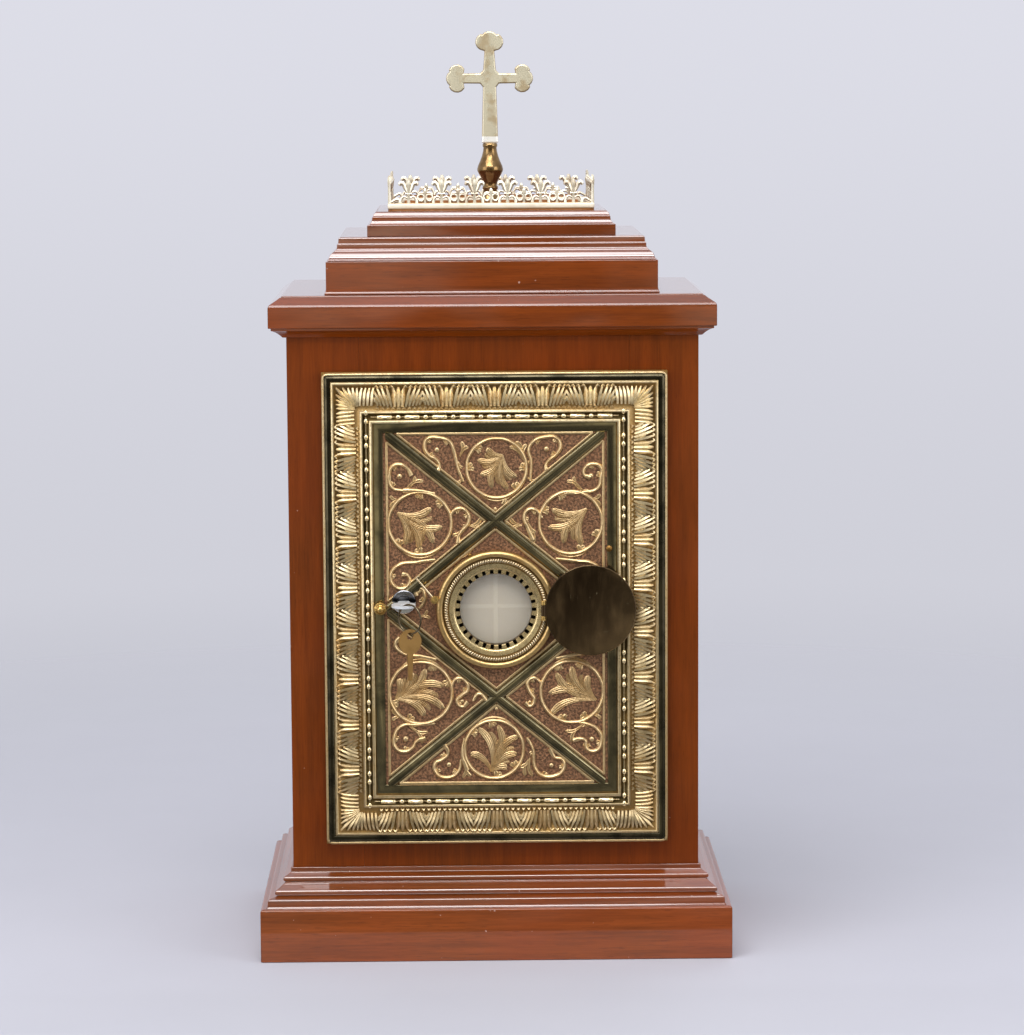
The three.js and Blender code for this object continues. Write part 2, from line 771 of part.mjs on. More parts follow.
function buildDoorPanel() {
  const w = panelHalfW - looseFit;
  const h = panelHalfH - looseFit;
  const back = plateBack - glueLine;
  const plate = slab(-w, w, plateBack - groundThickness, back, -h, h);
  const top = groundThickness + bandRise + 1;
  const field = slab(-fieldHalfW, fieldHalfW, plateBack - top, back, -fieldHalfH, fieldHalfH);
  const bands = joined(...saltire(1), ...saltire(-1));
  const trimmed = toGeometry(toSolid(bands).intersect(toSolid(field)));
  const bores = [
    discOnDoor(spigotRadius + looseFit, -1, top + 1, ringSegments),
    discOnDoor(collarRadius + looseFit, groundThickness, top + 1, ringSegments),
    discOnDoor(lockFaceRadius + looseFit, -1, top + 1, lockSegments, lockX, lockZ),
    discOnDoor(1.8, -1, top + 1, 12, knobX, knobZ),
    discOnDoor(catchPostRadius + looseFit, -1, top + 1, 12, catchX, catchZ),
  ];
  const relief = joined(plate, fieldBorder(), trimmed, ...scrollRings());
  piece("door_panel", cut(relief, ...bores), copperBrass, door);
}

// Viewing window: collar, notched bezel, glass, host and the case behind

function buildWindow() {
  const seat = groundThickness + glueLine;
  const collar = [
    [bezelRadius + looseFit, glueLine], [spigotRadius, glueLine], [spigotRadius, seat],
    [collarRadius, seat], [collarRadius, seat + 2.6],
    ...arc(collarRadius - 3.2, collarRise - 3.2, 3.2, 10, 150, 4),
    [pearlRadius + 2, collarRise - 2.4],
    ...arc(pearlRadius, collarRise - 2, 1.8, 0, 180, 4),
    [bezelRadius + 1.7, collarRise - 3.4], [bezelRadius + looseFit, collarRise - 3.4],
    [bezelRadius + looseFit, glueLine],
  ];
  piece("window_collar", turnedOnDoor(collar, ringSegments), castBrass, door);
  const bezelBack = -coreThickness + 0.9;
  const ring = ringOnDoor(sightRadius, bezelRadius, bezelBack, bezelRise, 60);
  piece("window_bezel", cut(ring, ...bezelNotches()), castBrass, door);
  const glassFront = bezelBack - looseFit;
  const glassBack = glassFront - glassThickness;
  const glassRadius = bezelRadius - caseWall - looseFit;
  const glass = discOnDoor(glassRadius, glassBack, glassFront, ringSegments);
  piece("window_glass", glass, clearGlass, door);
  const hostFront = glassBack - hostGap;
  const host = discOnDoor(glassRadius, hostFront - hostThickness, hostFront, ringSegments);
  piece("host_disc", host, paleWafer, door);
  buildCase(glassFront);
}

function bezelNotches() {
  const notches = [];
  for (let i = 0; i < notchCount; i += 1) {
    const notch = slab(notchInner, notchOuter, -notchWidth / 2, notchWidth / 2, -notchDepth, 1);
    const turn = (2 * Math.PI * i) / notchCount;
    notch.rotateZ(turn).rotateX(Math.PI / 2).translate(0, plateBack - bezelRise, 0);
    notches.push(notch);
  }
  return notches;
}

function buildCase(front) {
  const back = -coreThickness - caseDepth;
  const flangeFront = -coreThickness - glueLine;
  const inner = bezelRadius - caseWall;
  const shell = turnedOnDoor([
    [inner, back], [bezelRadius, back], [bezelRadius, flangeFront - caseFlangeThickness],
    [caseFlangeRadius, flangeFront - caseFlangeThickness], [caseFlangeRadius, flangeFront],
    [bezelRadius, flangeFront], [bezelRadius, front], [inner, front], [inner, back],
  ], ringSegments);
  const axisY = lidAxisY();
  const lugFoot = plateBack - flangeFront + caseFlangeThickness - 0.5;
  const lugStart = lidKnuckleHalf + 0.4;
  const lugEnd = lugStart + 3.5;
  const pieces = [shell, uprightRod(lidPinRadius, 0.5 - lugEnd, lugEnd - 0.5, 10, -lidHingeReach, axisY)];
  for (const z of [-lugEnd, lugStart]) {
    pieces.push(slab(-lidHingeReach - 1.6, -lidHingeReach + 1.6, lugFoot, axisY, z, z + 3.5));
    pieces.push(uprightRod(lidKnuckleRadius, z, z + 3.5, 12, -lidHingeReach, axisY));
  }
  piece("host_case", joined(...pieces), castBrass, door);
  buildCaseLid(plateBack - back + looseFit, axisY);
}

function buildCaseLid(front, axisY) {
  const rise = plateBack - front;
  const lid = discOnDoor(lidRadius, rise - lidThickness, rise, ringSegments);
  const arm = slab(-lidHingeReach, -lidRadius + 3, front, front + lidThickness, -4, 4);
  const half = lidKnuckleHalf;
  const knuckle = uprightRod(lidKnuckleRadius, -half, half, 12, -lidHingeReach, axisY);
  const bore = uprightRod(lidPinRadius + looseFit, -half - 1, half + 1, 12, -lidHingeReach, axisY);
  piece("host_case_lid", cut(joined(lid, arm, knuckle), bore), castBrass, door);
}

function lidAxisY() {
  return plateBack + coreThickness + caseDepth + looseFit + lidThickness / 2;
}

// Swinging cover: a disc on a knuckle, carried by a bracket on the collar

function buildCover() {
  const axisY = plateBack - coverHingeRise;
  const half = coverThickness / 2;
  const discX = 2 * coverHingeX;
  const disc = turnedOnDoor([
    [0, coverHingeRise - half], [coverRadius - 0.5, coverHingeRise - half],
    [coverRadius, coverHingeRise - half + 0.5], [coverRadius, coverHingeRise + half - 0.5],
    [coverRadius - 0.5, coverHingeRise + half], [0, coverHingeRise + half],
  ], ringSegments, discX, 0);
  const knuckleHalf = coverKnuckleLength / 2;
  const tongue = slab(coverHingeX, discX - coverRadius + 2, axisY - half, axisY + half, -knuckleHalf, knuckleHalf);
  const knuckle = uprightRod(knuckleRadius, -knuckleHalf, knuckleHalf, 16, coverHingeX, axisY);
  const bore = uprightRod(coverPinRadius + looseFit, -knuckleHalf - 1, knuckleHalf + 1, 12, coverHingeX, axisY);
  const clearSlot = lugSlots(axisY, knuckleHalf);
  piece("viewing_cover", cut(joined(disc, tongue, knuckle), bore, ...clearSlot), darkBrass, door);
  buildCoverBracket(axisY, knuckleHalf);
}

// Room in the cover's edge for the bracket's lugs
function lugSlots(axisY, knuckleHalf) {
  const reach = knuckleRadius + 2 * looseFit;
  const end = knuckleHalf + looseFit + lugLength + looseFit;
  return [1, -1].map((side) => {
    const z0 = side > 0 ? knuckleHalf : -end;
    const z1 = side > 0 ? end : -knuckleHalf;
    return slab(coverHingeX - reach, coverHingeX + reach, axisY - 4, axisY + 4, z0, z1);
  });
}

function buildCoverBracket(axisY, knuckleHalf) {
  const low = collarRise + looseFit;
  const footY = plateBack - low;
  const plateTop = footY - 0.9;
  const x1 = collarRadius - 1.6;
  const z = knuckleHalf + looseFit + lugLength;
  const lugs = [];
  for (const side of [-1, 1]) {
    const z0 = side > 0 ? knuckleHalf + looseFit : -z;
    const z1 = side > 0 ? z : -knuckleHalf - looseFit;
    lugs.push(uprightRod(knuckleRadius, z0, z1, 16, coverHingeX, axisY));
    lugs.push(slab(coverHingeX - 1.4, coverHingeX + 1.4, axisY, footY, z0, z1));
  }
  const base = slab(coverHingeX - 1.4, x1, plateTop, footY, -z, z);
  const pin = uprightRod(coverPinRadius, -z + 0.5, z - 0.5, 10, coverHingeX, axisY);
  piece("cover_bracket", joined(base, pin, ...lugs), castBrass, door);
}

// Catch: a wire hook that swings over the closed cover

function catchRise() {
  return coverHingeRise + coverThickness / 2 + looseFit + catchWire;
}

function buildCatch() {
  const rise = catchRise();
  const eye = ringOnDoor(catchPostRadius + looseFit, catchEyeRadius, rise - catchWire, rise + catchWire, 16);
  const start = catchEyeRadius - 0.5;
  const rod = new THREE.CylinderGeometry(catchWire, catchWire, catchLength - start, 10);
  rod.rotateZ(Math.PI / 2).translate((catchLength + start) / 2, plateBack - rise, 0);
  const tip = new THREE.CylinderGeometry(catchWire, catchWire, 3.4, 10);
  tip.translate(0, 1.5, 0).rotateX(-Math.PI / 2).translate(catchLength - 0.4, plateBack - rise, 0);
  const hook = joined(eye, rod, tip);
  const angle = THREE.MathUtils.degToRad(catchOpenAngle);
  hook.rotateY(-angle).translate(catchX, 0, catchZ);
  piece("catch_hook", hook, brightBrass, door);
  const low = rise - catchWire - looseFit;
  const head = rise + catchWire + looseFit;
  const post = turnedOnDoor([
    [0, glueLine], [catchPostRadius, glueLine], [catchPostRadius, groundThickness + looseFit],
    [catchBossRadius, groundThickness + looseFit], [catchBossRadius, low], [catchPostRadius, low],
    [catchPostRadius, head], [catchHeadRadius, head],
    [catchHeadRadius * 0.9, head + catchHeadThickness * 0.7], [0, head + catchHeadThickness],
  ], 20, catchX, catchZ);
  piece("catch_post", post, brightBrass, door);
}

// Cam lock: face and barrel, plug with its tail, nut and cam

function camRise() {
  return plateBack - camFront;
}

function buildLock() {
  const barrelBack = camRise() + 2.6;
  const body = turnedOnDoor([
    [plugRadius + looseFit, barrelBack], [lockBarrelRadius, barrelBack],
    [lockBarrelRadius, glueLine], [lockFaceRadius, glueLine],
    [lockFaceRadius, lockFaceRise - 0.8], [lockFaceRadius - 0.8, lockFaceRise],
    [plugRadius + looseFit, lockFaceRise], [plugRadius + looseFit, barrelBack],
  ], lockSegments, lockX, lockZ);
  piece("lock_cylinder", body, chrome, door);
  const tailBack = camRise() - camThickness - 1.2;
  const barrel = discOnDoor(plugRadius, barrelBack - looseFit, lockFaceRise, lockSegments, lockX, lockZ);
  const half = camSquare / 2;
  const tail = slab(
    lockX - half, lockX + half, plateBack - barrelBack, plateBack - tailBack, lockZ - half, lockZ + half,
  );
  const slotHalf = keyBladeWidth / 2 + looseFit;
  const slotRise = keyThickness / 2 + looseFit;
  const slotBack = lockFaceRise - keyBladeDepth - looseFit;
  const slot = slab(
    lockX - slotHalf, lockX + slotHalf, plateBack - lockFaceRise - 1, plateBack - slotBack,
    lockZ - slotRise, lockZ + slotRise,
  );
  piece("lock_plug", cut(joined(barrel, tail), slot), chrome, door);
  buildLockNut();
  buildCam(half);
}

function buildLockNut() {
  const front = -coreThickness - glueLine;
  const hex = discOnDoor(nutAcross / Math.sqrt(3), front - nutThickness, front, 6, lockX, lockZ);
  const bore = discOnDoor(lockBarrelRadius + looseFit, front - nutThickness - 1, front + 1, 24, lockX, lockZ);
  piece("lock_nut", cut(hex, bore), chrome, door);
}

function buildCam(half) {
  const y0 = camFront;
  const y1 = camFront + camThickness;
  const wide = camWidth / 2;
  const arm = slab(lockX - wide, lockX + wide, y0, y1, lockZ - camReach, lockZ + wide);
  const hole = half + looseFit;
  const square = slab(lockX - hole, lockX + hole, y0 - 1, y1 + 1, lockZ - hole, lockZ + hole);
  piece("lock_cam", cut(arm, square), steel, door);
}

// Key in the lock, its ring, and the spare key that hangs from the ring

function ovalOutline(cx, cy, halfW, halfH, hole) {
  const shape = new THREE.Shape();
  shape.absellipse(cx, cy, halfW, halfH, 0, 2 * Math.PI);
  const path = new THREE.Path();
  path.absellipse(hole.x, hole.y, hole.radius, hole.radius, 0, 2 * Math.PI, true);
  shape.holes.push(path);
  return shape;
}

function keyBowRise() {
  return lockFaceRise + keyNeck + bowLength / 2;
}

function flatSolid(shape, thickness, segments) {
  const geometry = new THREE.ExtrudeGeometry(shape, {
    depth: thickness, bevelEnabled: false, curveSegments: segments,
  });
  return geometry.translate(0, 0, -thickness / 2);
}

function buildKey() {
  const bowY = plateBack - keyBowRise();
  const hole = { x: lockX, y: bowY - bowHoleShift, radius: bowHoleRadius };
  const bow = flatSolid(ovalOutline(lockX, bowY, bowWidth / 2, bowLength / 2, hole), keyThickness, 14);
  bow.translate(0, 0, lockZ);
  const bladeEnd = plateBack - lockFaceRise + keyBladeDepth;
  const half = keyThickness / 2;
  const bladeHalf = keyBladeWidth / 2;
  const blade = slab(lockX - bladeHalf, lockX + bladeHalf, bowY + bowLength / 2 - 1.5, bladeEnd, lockZ - half, lockZ + half);
  const shoulder = slab(
    lockX - bladeHalf - 1.2, lockX + bladeHalf + 1.2, bowY + bowLength / 2 - 1.8,
    plateBack - lockFaceRise - 2, lockZ - half, lockZ + half,
  );
  piece("door_key", joined(bow, blade, shoulder), chrome, door);
  buildRingAndSpare(hole);
}

// The ring stands upright, threaded through the bow, and leaves room for the bow
// to turn inside it.
function ringCentre(hole) {
  const drop = ringRadius - keyThickness / 2 - ringWire - looseFit;
  const reach = Math.sqrt(ringRadius ** 2 - drop ** 2);
  const turn = THREE.MathUtils.degToRad(ringTurn);
  const shift = reach - looseFit;
  return new THREE.Vector3(
    hole.x + shift * Math.cos(turn),
    hole.y - shift * Math.sin(turn),
    lockZ - drop,
  );
}

function buildRingAndSpare(hole) {
  const centre = ringCentre(hole);
  const ring = new THREE.TorusGeometry(ringRadius, ringWire, 6, 28);
  ring.rotateX(Math.PI / 2).rotateZ(-THREE.MathUtils.degToRad(ringTurn));
  piece("key_ring", ring.translate(centre.x, centre.y, centre.z), steel, door);
  const wireZ = centre.z - ringRadius;
  const holeZ = wireZ + ringWire + looseFit - spareHoleRadius;
  const bowTop = holeZ + spareHoleRadius + 2.6;
  const bowZ = bowTop - spareBowHeight / 2;
  const spareHole = { x: 0, y: holeZ, radius: spareHoleRadius };
  const bow = flatSolid(ovalOutline(0, bowZ, spareBowWidth / 2, spareBowHeight / 2, spareHole), keyThickness, 14);
  const tip = bowTop - spareLength;
  const half = keyThickness / 2;
  const bladeTop = bowTop - spareBowHeight + 2;
  const blade = slab(-spareBladeWidth / 2, spareBladeWidth / 2, tip, bladeTop, -half, half);
  const spare = joined(bow, blade).rotateX(Math.PI / 2);
  spare.rotateZ(THREE.MathUtils.degToRad(spareTurn));
  piece("spare_key", spare.translate(centre.x, centre.y, 0), brightBrass, door);
}

// Pull knob on the polished border

function buildKnob() {
  const seat = groundThickness + borderRise + glueLine;
  const top = seat + knobRise;
  piece("pull_knob", turnedOnDoor([
    [0, -coreThickness + 0.5], [1.5, -coreThickness + 0.5], [1.5, seat], [3.6, seat],
    [3.6, seat + 1], [2.4, seat + 2.4], [2.2, seat + 5.4], [3.4, seat + 7],
    [knobRadius - 0.6, seat + 8.4], [knobRadius, top - 3.8], [knobRadius - 0.7, top - 1.6],
    [knobRadius - 2.6, top - 0.4], [0, top],
  ], 18, knobX, knobZ), brightBrass, door);
}

// Door hinges: a cabinet leaf with the pin and a door leaf, twice

function hingeLeaf(x0, y0, z, spans) {
  const solids = [];
  for (const [a, b] of spans) {
    solids.push(uprightRod(hingeBarrelRadius, z + a, z + b, 16, hingeX, hingeY));
    solids.push(slab(hingeX - 1, hingeX + 1, hingeY, y0 + hingeLeafThickness, z + a, z + b));
  }
  const z0 = z + spans[0][0];
  const z1 = z + spans[spans.length - 1][1];
  solids.push(slab(x0, hingeX + 1, y0, y0 + hingeLeafThickness, z0, z1));
  return joined(...solids);
}

function buildHinge(name, z) {
  const half = hingeLength / 2;
  const mid = middleKnuckle / 2;
  const gap = looseFit;
  const leafX = hingeX - hingeLeafWidth;
  const cabinetY = -halfBodyD - hingeLeafThickness - glueLine;
  const outer = hingeLeaf(leafX, cabinetY, z, [[-half, -mid - gap], [mid + gap, half]]);
  const room = slab(
    leafX - 1, hingeX + hingeBarrelRadius + 1, hingeY - hingeBarrelRadius - 1,
    cabinetY - 0.02, z - mid - gap, z + mid + gap,
  );
  const pin = uprightRod(hingePinRadius, z - half + 1, z + half - 1, 12, hingeX, hingeY);
  piece(`${name}_hinge_cabinet_leaf`, joined(cut(outer, room), pin), castBrass, door);
  const doorLeaf = hingeLeaf(leafX, coreBack + glueLine, z, [[-mid, mid]]);
  const bore = uprightRod(hingePinRadius + looseFit, z - mid - 1, z + mid + 1, 14, hingeX, hingeY);
  piece(`${name}_hinge_door_leaf`, cut(doorLeaf, bore), castBrass, door);
}

buildPlinth();
buildBaseMoulding();
buildCabinet();
buildCornice();
buildSteppedTop();
buildGallery();
buildCross();
buildDoorCore();
buildDoorFrame();
buildDoorPanel();
buildWindow();
buildCover();
buildCatch();
buildLock();
buildKey();
buildKnob();
buildHinge("upper", hingeZ);
buildHinge("lower", -hingeZ);

export default part;
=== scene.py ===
"""Altar tabernacle with a stepped top, a brass gallery and cross, and a cast brass door.

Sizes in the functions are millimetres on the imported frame: x to the right, y to the back, z up.
Places on the door are (x, z, rise): from the middle of the door, and proud of its plate.
"""
import json
import math
from contextlib import contextmanager

import bmesh
import bpy
from bpy.props import FloatProperty, FloatVectorProperty, IntProperty, PointerProperty
from mathutils import Matrix, Vector


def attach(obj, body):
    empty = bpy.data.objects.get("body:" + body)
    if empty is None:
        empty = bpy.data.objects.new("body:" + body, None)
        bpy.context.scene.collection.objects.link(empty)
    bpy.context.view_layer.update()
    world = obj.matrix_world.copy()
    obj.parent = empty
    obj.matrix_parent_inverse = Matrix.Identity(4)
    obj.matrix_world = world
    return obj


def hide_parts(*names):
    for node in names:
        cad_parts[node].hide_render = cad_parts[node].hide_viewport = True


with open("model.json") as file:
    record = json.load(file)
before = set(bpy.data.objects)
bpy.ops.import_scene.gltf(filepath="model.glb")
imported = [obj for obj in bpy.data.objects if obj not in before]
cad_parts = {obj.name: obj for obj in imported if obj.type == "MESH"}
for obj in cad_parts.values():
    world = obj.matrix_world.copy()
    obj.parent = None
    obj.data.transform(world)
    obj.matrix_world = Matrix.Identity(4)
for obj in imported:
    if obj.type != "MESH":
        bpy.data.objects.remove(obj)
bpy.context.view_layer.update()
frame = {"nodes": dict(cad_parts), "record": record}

bl_info = {
    "name": "Altar tabernacle",
    "version": (1, 0, 0),
    "blender": (4, 5, 0),
    "location": "View3D > Sidebar > Tabernacle",
    "description": "Dresses the solids of an altar tabernacle: cabinet, gallery, cross and door",
    "category": "Object",
}

MM = 0.001
BODY_OF = {node: body for body, nodes in frame["record"]["behaviour"]["bodies"].items()
           for node in nodes}

DOOR_MOULDINGS = ["door_frame_" + side for side in ("top", "bottom", "left", "right")]


def measured(axis, *nodes):
    """The lowest place of CAD nodes along X, Y or Z, their middle, and half their size, each to
    a tenth of a millimetre."""
    places = [vertex.co["XYZ".index(axis)] / MM
              for node in nodes for vertex in frame["nodes"][node].data.vertices]
    low, high = min(places), max(places)
    return [round(value, 1) for value in (low, (low + high) / 2, (high - low) / 2)]


# The door's middle, half its width and height, and the front of its plate
DOOR_X, DOOR_HALF_W = measured("X", *DOOR_MOULDINGS)[1:]
DOOR_Z, DOOR_HALF_H = measured("Z", *DOOR_MOULDINGS)[1:]
PLATE_Y = measured("Y", "door_core")[0]

# Heights of the gallery's foot, the cross's foot and the lock's middle
RAIL_FOOT, CROSS_FOOT = (measured("Z", node)[0] for node in ("gallery_front", "altar_cross"))
LOCK_Z = measured("Z", "lock_cylinder")[1]


# Sizes and colours that a user would change

class CabinetSettings(bpy.types.PropertyGroup):
    """The wooden case."""
    veneer: FloatVectorProperty(
        name="Veneer", description="Colour of the body's upright veneer", subtype="COLOR_GAMMA",
        default=(0.445, 0.198, 0.02), min=0, max=1)
    moulding: FloatVectorProperty(
        name="Mouldings", description="Colour of the cornice and the stepped top",
        subtype="COLOR_GAMMA", default=(0.475, 0.215, 0.035), min=0, max=1)
    plinth: FloatVectorProperty(
        name="Plinth", description="Colour of the plinth and its moulding",
        subtype="COLOR_GAMMA", default=(0.53, 0.26, 0.09), min=0, max=1)
    edge: FloatProperty(
        name="Edge", description="Rounding of the wood's edges", unit="LENGTH", default=0.0007,
        min=0.0001, max=0.003)


class BrassSettings(bpy.types.PropertyGroup):
    """The cast and polished brass."""
    light: FloatVectorProperty(
        name="Rubbed brass", description="Colour of the raised, rubbed brass",
        subtype="COLOR_GAMMA", default=(0.86, 0.79, 0.63), min=0, max=1)
    # the hollows' colour stands for their toned patina and painted shade
    hollow: FloatVectorProperty(
        name="Hollows", description="Colour of the toned hollows", subtype="COLOR_GAMMA",
        default=(0.46, 0.37, 0.22), min=0, max=1)
    ground: FloatVectorProperty(
        name="Field ground", description="Colour of the stippled ground", subtype="COLOR_GAMMA",
        default=(0.55, 0.40, 0.285), min=0, max=1)


class OrnamentSettings(bpy.types.PropertyGroup):
    """The door's ornament."""
    leaf_pitch: FloatProperty(
        name="Leaf pitch", description="Distance from leaf to leaf along the border",
        unit="LENGTH", default=0.0396, min=0.01, max=0.08)
    bead_pitch: FloatProperty(
        name="Bead pitch", description="Distance between pairs of beads on the upright sides",
        unit="LENGTH", default=0.0203, min=0.01, max=0.04)
    reel_pitch: FloatProperty(
        name="Reel pitch", description="Distance from reel to reel on the level sides",
        unit="LENGTH", default=0.0216, min=0.01, max=0.05)
    tendril: FloatProperty(
        name="Tendril", description="Radius of the tendrils' rounded line", unit="LENGTH",
        default=0.0018, min=0.0004, max=0.003)
    pearls: IntProperty(
        name="Pearls", description="Number of pearls round the window", default=124, min=24,
        max=160)


class StageSettings(bpy.types.PropertyGroup):
    """The camera, lamps and backdrop."""
    lens: FloatProperty(
        name="Lens", description="Focal length of the camera in millimetres", default=123.5,
        min=20, max=300)
    backdrop: FloatVectorProperty(
        name="Backdrop", description="Colour of the backdrop", subtype="COLOR_GAMMA",
        default=(0.855, 0.857, 0.895), min=0, max=1)
    floor: FloatVectorProperty(
        name="Floor", description="Colour of the floor", subtype="COLOR_GAMMA",
        default=(0.785, 0.785, 0.825), min=0, max=1)
    lamp: FloatProperty(
        name="Key lamp", description="Power of the large lamp overhead", unit="POWER",
        default=27, min=0, max=400)


# Finishes

def linear(colour):
    """A written colour as the linear light that a shader takes."""
    return tuple(c / 12.92 if c <= 0.04045 else ((c + 0.055) / 1.055) ** 2.4
                 for c in colour[:3]) + (1.0,)


def toned(colour, amount):
    """A written colour, lighter above 1 and darker below."""
    return tuple(min(1.0, c * amount) for c in colour[:3])


class Value:
    """A number, colour, vector or shader, so that maths on numbers reads as arithmetic."""

    def __init__(self, shading, socket):
        self.shading, self.socket = shading, socket

    def maths(self, operation, first, second):
        return self.shading.maths(operation, first, second)

    def __add__(self, other):
        return self.maths("ADD", self, other)

    def __sub__(self, other):
        return self.maths("SUBTRACT", self, other)

    def __rsub__(self, other):
        return self.maths("SUBTRACT", other, self)

    def __mul__(self, other):
        return self.maths("MULTIPLY", self, other)

    __radd__, __rmul__ = __add__, __mul__


class Shading:
    """The nodes of a material or of the world."""

    def __init__(self, owner):
        owner.use_nodes = True
        self.tree = owner.node_tree

    def fill(self, node, values):
        """Sets or links a node's sockets."""
        for key, value in values.items():
            if isinstance(value, Value):
                self.tree.links.new(value.socket, node.inputs[key])
            else:
                node.inputs[key].default_value = value

    def node(self, kind, settings, values, output=0):
        """Any node: its settings first, then the values and links of its sockets."""
        node = self.tree.nodes.new(kind)
        for key, setting in settings.items():
            setattr(node, key, setting)
        self.fill(node, values)
        return Value(self, node.outputs[output])

    def maths(self, operation, *values):
        """One operation on numbers."""
        return self.node("ShaderNodeMath", {"operation": operation}, dict(enumerate(values)))

    def ramp(self, value, low, high):
        """From 0 at low to 1 at high, smoothly."""
        return self.node("ShaderNodeMapRange", {"interpolation_type": "SMOOTHSTEP"},
                         {"Value": value, "From Min": low, "From Max": high})

    def mix(self, factor, first, second):
        """From the first written colour to the second."""
        first, second = (c if isinstance(c, Value) else linear(c) for c in (first, second))
        return self.node("ShaderNodeMix", {"data_type": "RGBA"},
                         {0: factor, 6: first, 7: second}, 2)

    def blend(self, factor, first, second):
        """From the first shader to the second."""
        return self.node("ShaderNodeMixShader", {}, {0: factor, 1: first, 2: second})


class Finish(Shading):
    """One procedural material on the places of the object itself."""

    def __init__(self, name):
        self.material = bpy.data.materials.new(name)
        super().__init__(self.material)
        self.shader = self.tree.nodes["Principled BSDF"]
        self.place = self.node("ShaderNodeTexCoord", {}, {}, "Object")

    def stretched(self, x, y, z):
        """The object's places, scaled along each axis."""
        return self.node("ShaderNodeMapping", {}, {"Vector": self.place, "Scale": (x, y, z)})

    def grained(self, grain, scale):
        """The object's places, scaled along the grain: X, Y or Z."""
        return self.stretched(*(scale if axis == grain else 1.0 for axis in "XYZ"))

    def noise(self, place, scale, detail=2.0, rough=0.5):
        """Soft noise about 0.5. scale is how many blots there are to a metre."""
        return self.node("ShaderNodeTexNoise", {},
                         {"Vector": place, "Scale": scale, "Detail": detail, "Roughness": rough})

    def along(self, axis):
        """The place along X, Y or Z in metres."""
        return self.node("ShaderNodeSeparateXYZ", {}, {0: self.place}, axis)

    def facing(self, axis):
        """How far the surface faces along X, Y or Z, from -1 to 1."""
        normal = self.node("ShaderNodeTexCoord", {}, {}, "Normal")
        return self.node("ShaderNodeSeparateXYZ", {}, {0: normal}, axis)

    def bump(self, height, strength, depth):
        """A normal from a height, with its depth in millimetres."""
        return self.node("ShaderNodeBump", {},
                         {"Height": height, "Strength": strength, "Distance": depth * MM})

    def surface(self, **values):
        """Sets or links the shader's own sockets."""
        self.fill(self.shader, {key.replace("_", " "): value for key, value in values.items()})
        return self.material


def varnished_wood(name, colour, grain, fine=1.0, coat=1.0, gloss=1.7):
    """Varnished veneer with its grain along X, Y or Z, and a few small nicks. fine is how close
    the grain is, and coat and gloss are the varnish's weight and refraction."""
    finish = Finish(name)
    streaks = finish.noise(finish.grained(grain, 0.035), 900 * fine, 3, 0.6)
    bands = finish.noise(finish.grained(grain, 0.06), 120 * fine, 2, 0.5)
    pores = finish.ramp(finish.noise(finish.grained(grain, 0.05), 1500, 1, 0.5), 0.62, 0.72)
    broad = finish.noise(finish.place, 7, 1)
    tone = finish.ramp(streaks, 0.36, 0.66) * 0.45 + finish.ramp(bands, 0.35, 0.68) * 0.55
    base = finish.mix(tone, toned(colour, 0.86), toned(colour, 1.09))
    base = finish.mix(pores * 0.35, base, toned(colour, 0.5))
    base = finish.mix(finish.ramp(broad, 0.4, 0.7) * 0.25, base,
                      (colour[0] * 1.12, colour[1] * 0.9, colour[2] * 0.85))
    nicks = finish.ramp(finish.noise(finish.place, 290, 1), 0.80, 0.81)
    base = finish.mix(nicks * 0.55, base, (0.86, 0.74, 0.68))
    height = streaks * 0.4 + pores * -0.6
    return finish.surface(Base_Color=base, Roughness=finish.ramp(streaks, 0.2, 0.8) * 0.08 + 0.3,
                          Normal=finish.bump(height, 0.12, 0.15), Coat_Weight=coat,
                          Coat_Roughness=0.04, Coat_IOR=gloss, Specular_IOR_Level=0.15)


def plain_wood(name, colour, grain):
    """The unvarnished wood inside and at the back, with its grain along X, Y or Z."""
    finish = Finish(name)
    streaks = finish.noise(finish.grained(grain, 0.05), 260, 3, 0.6)
    base = finish.mix(finish.ramp(streaks, 0.35, 0.65), toned(colour, 0.82), toned(colour, 1.1))
    return finish.surface(Base_Color=base, Roughness=0.62, Normal=finish.bump(streaks, 0.2, 0.2))


def cast_brass(name, light, hollow, low, high, rough=0.34, speck=0.35, foot=0.0):
    """Cast brass, toned in its hollows with patina and painted shade, and rubbed bright where it
    stands proud of the door. low and high are the rises between which it brightens, and foot is
    how much painted shade dulls it toward the door's foot."""
    finish = Finish(name)
    rise = finish.along("Y") * -1000 + PLATE_Y
    cast = finish.noise(finish.place, 900, 2, 0.6)
    tint = finish.noise(finish.place, 60, 2)
    # brighter with the rise: rubbed wear where it stands proud, toned patina and painted shade in
    # the hollows
    wear_and_shade = finish.ramp(rise + (cast - 0.5) * 1.6, low, high)
    base = finish.mix(wear_and_shade, hollow, light)
    base = finish.mix(finish.ramp(tint, 0.45, 0.75) * speck, base,
                      (light[0] * 0.9, light[1] * 0.78, light[2] * 0.55))
    mottle = finish.ramp(finish.noise(finish.place, 380, 2, 0.7), 0.5, 0.64)
    base = finish.mix(mottle * speck, base, toned(hollow, 0.95))
    # painted shade: duller toward the door's foot, as if lit from above
    if foot:
        base = finish.mix((1 - finish.ramp(finish.along("Z"), 0.08, 0.5)) * foot, base,
                          toned(hollow, 0.9))
    roughness = (1 - wear_and_shade) * 0.22 + rough + (cast - 0.5) * 0.12
    return finish.surface(Base_Color=base, Metallic=0.8, Roughness=roughness,
                          Normal=finish.bump(cast, 0.25, 0.12))


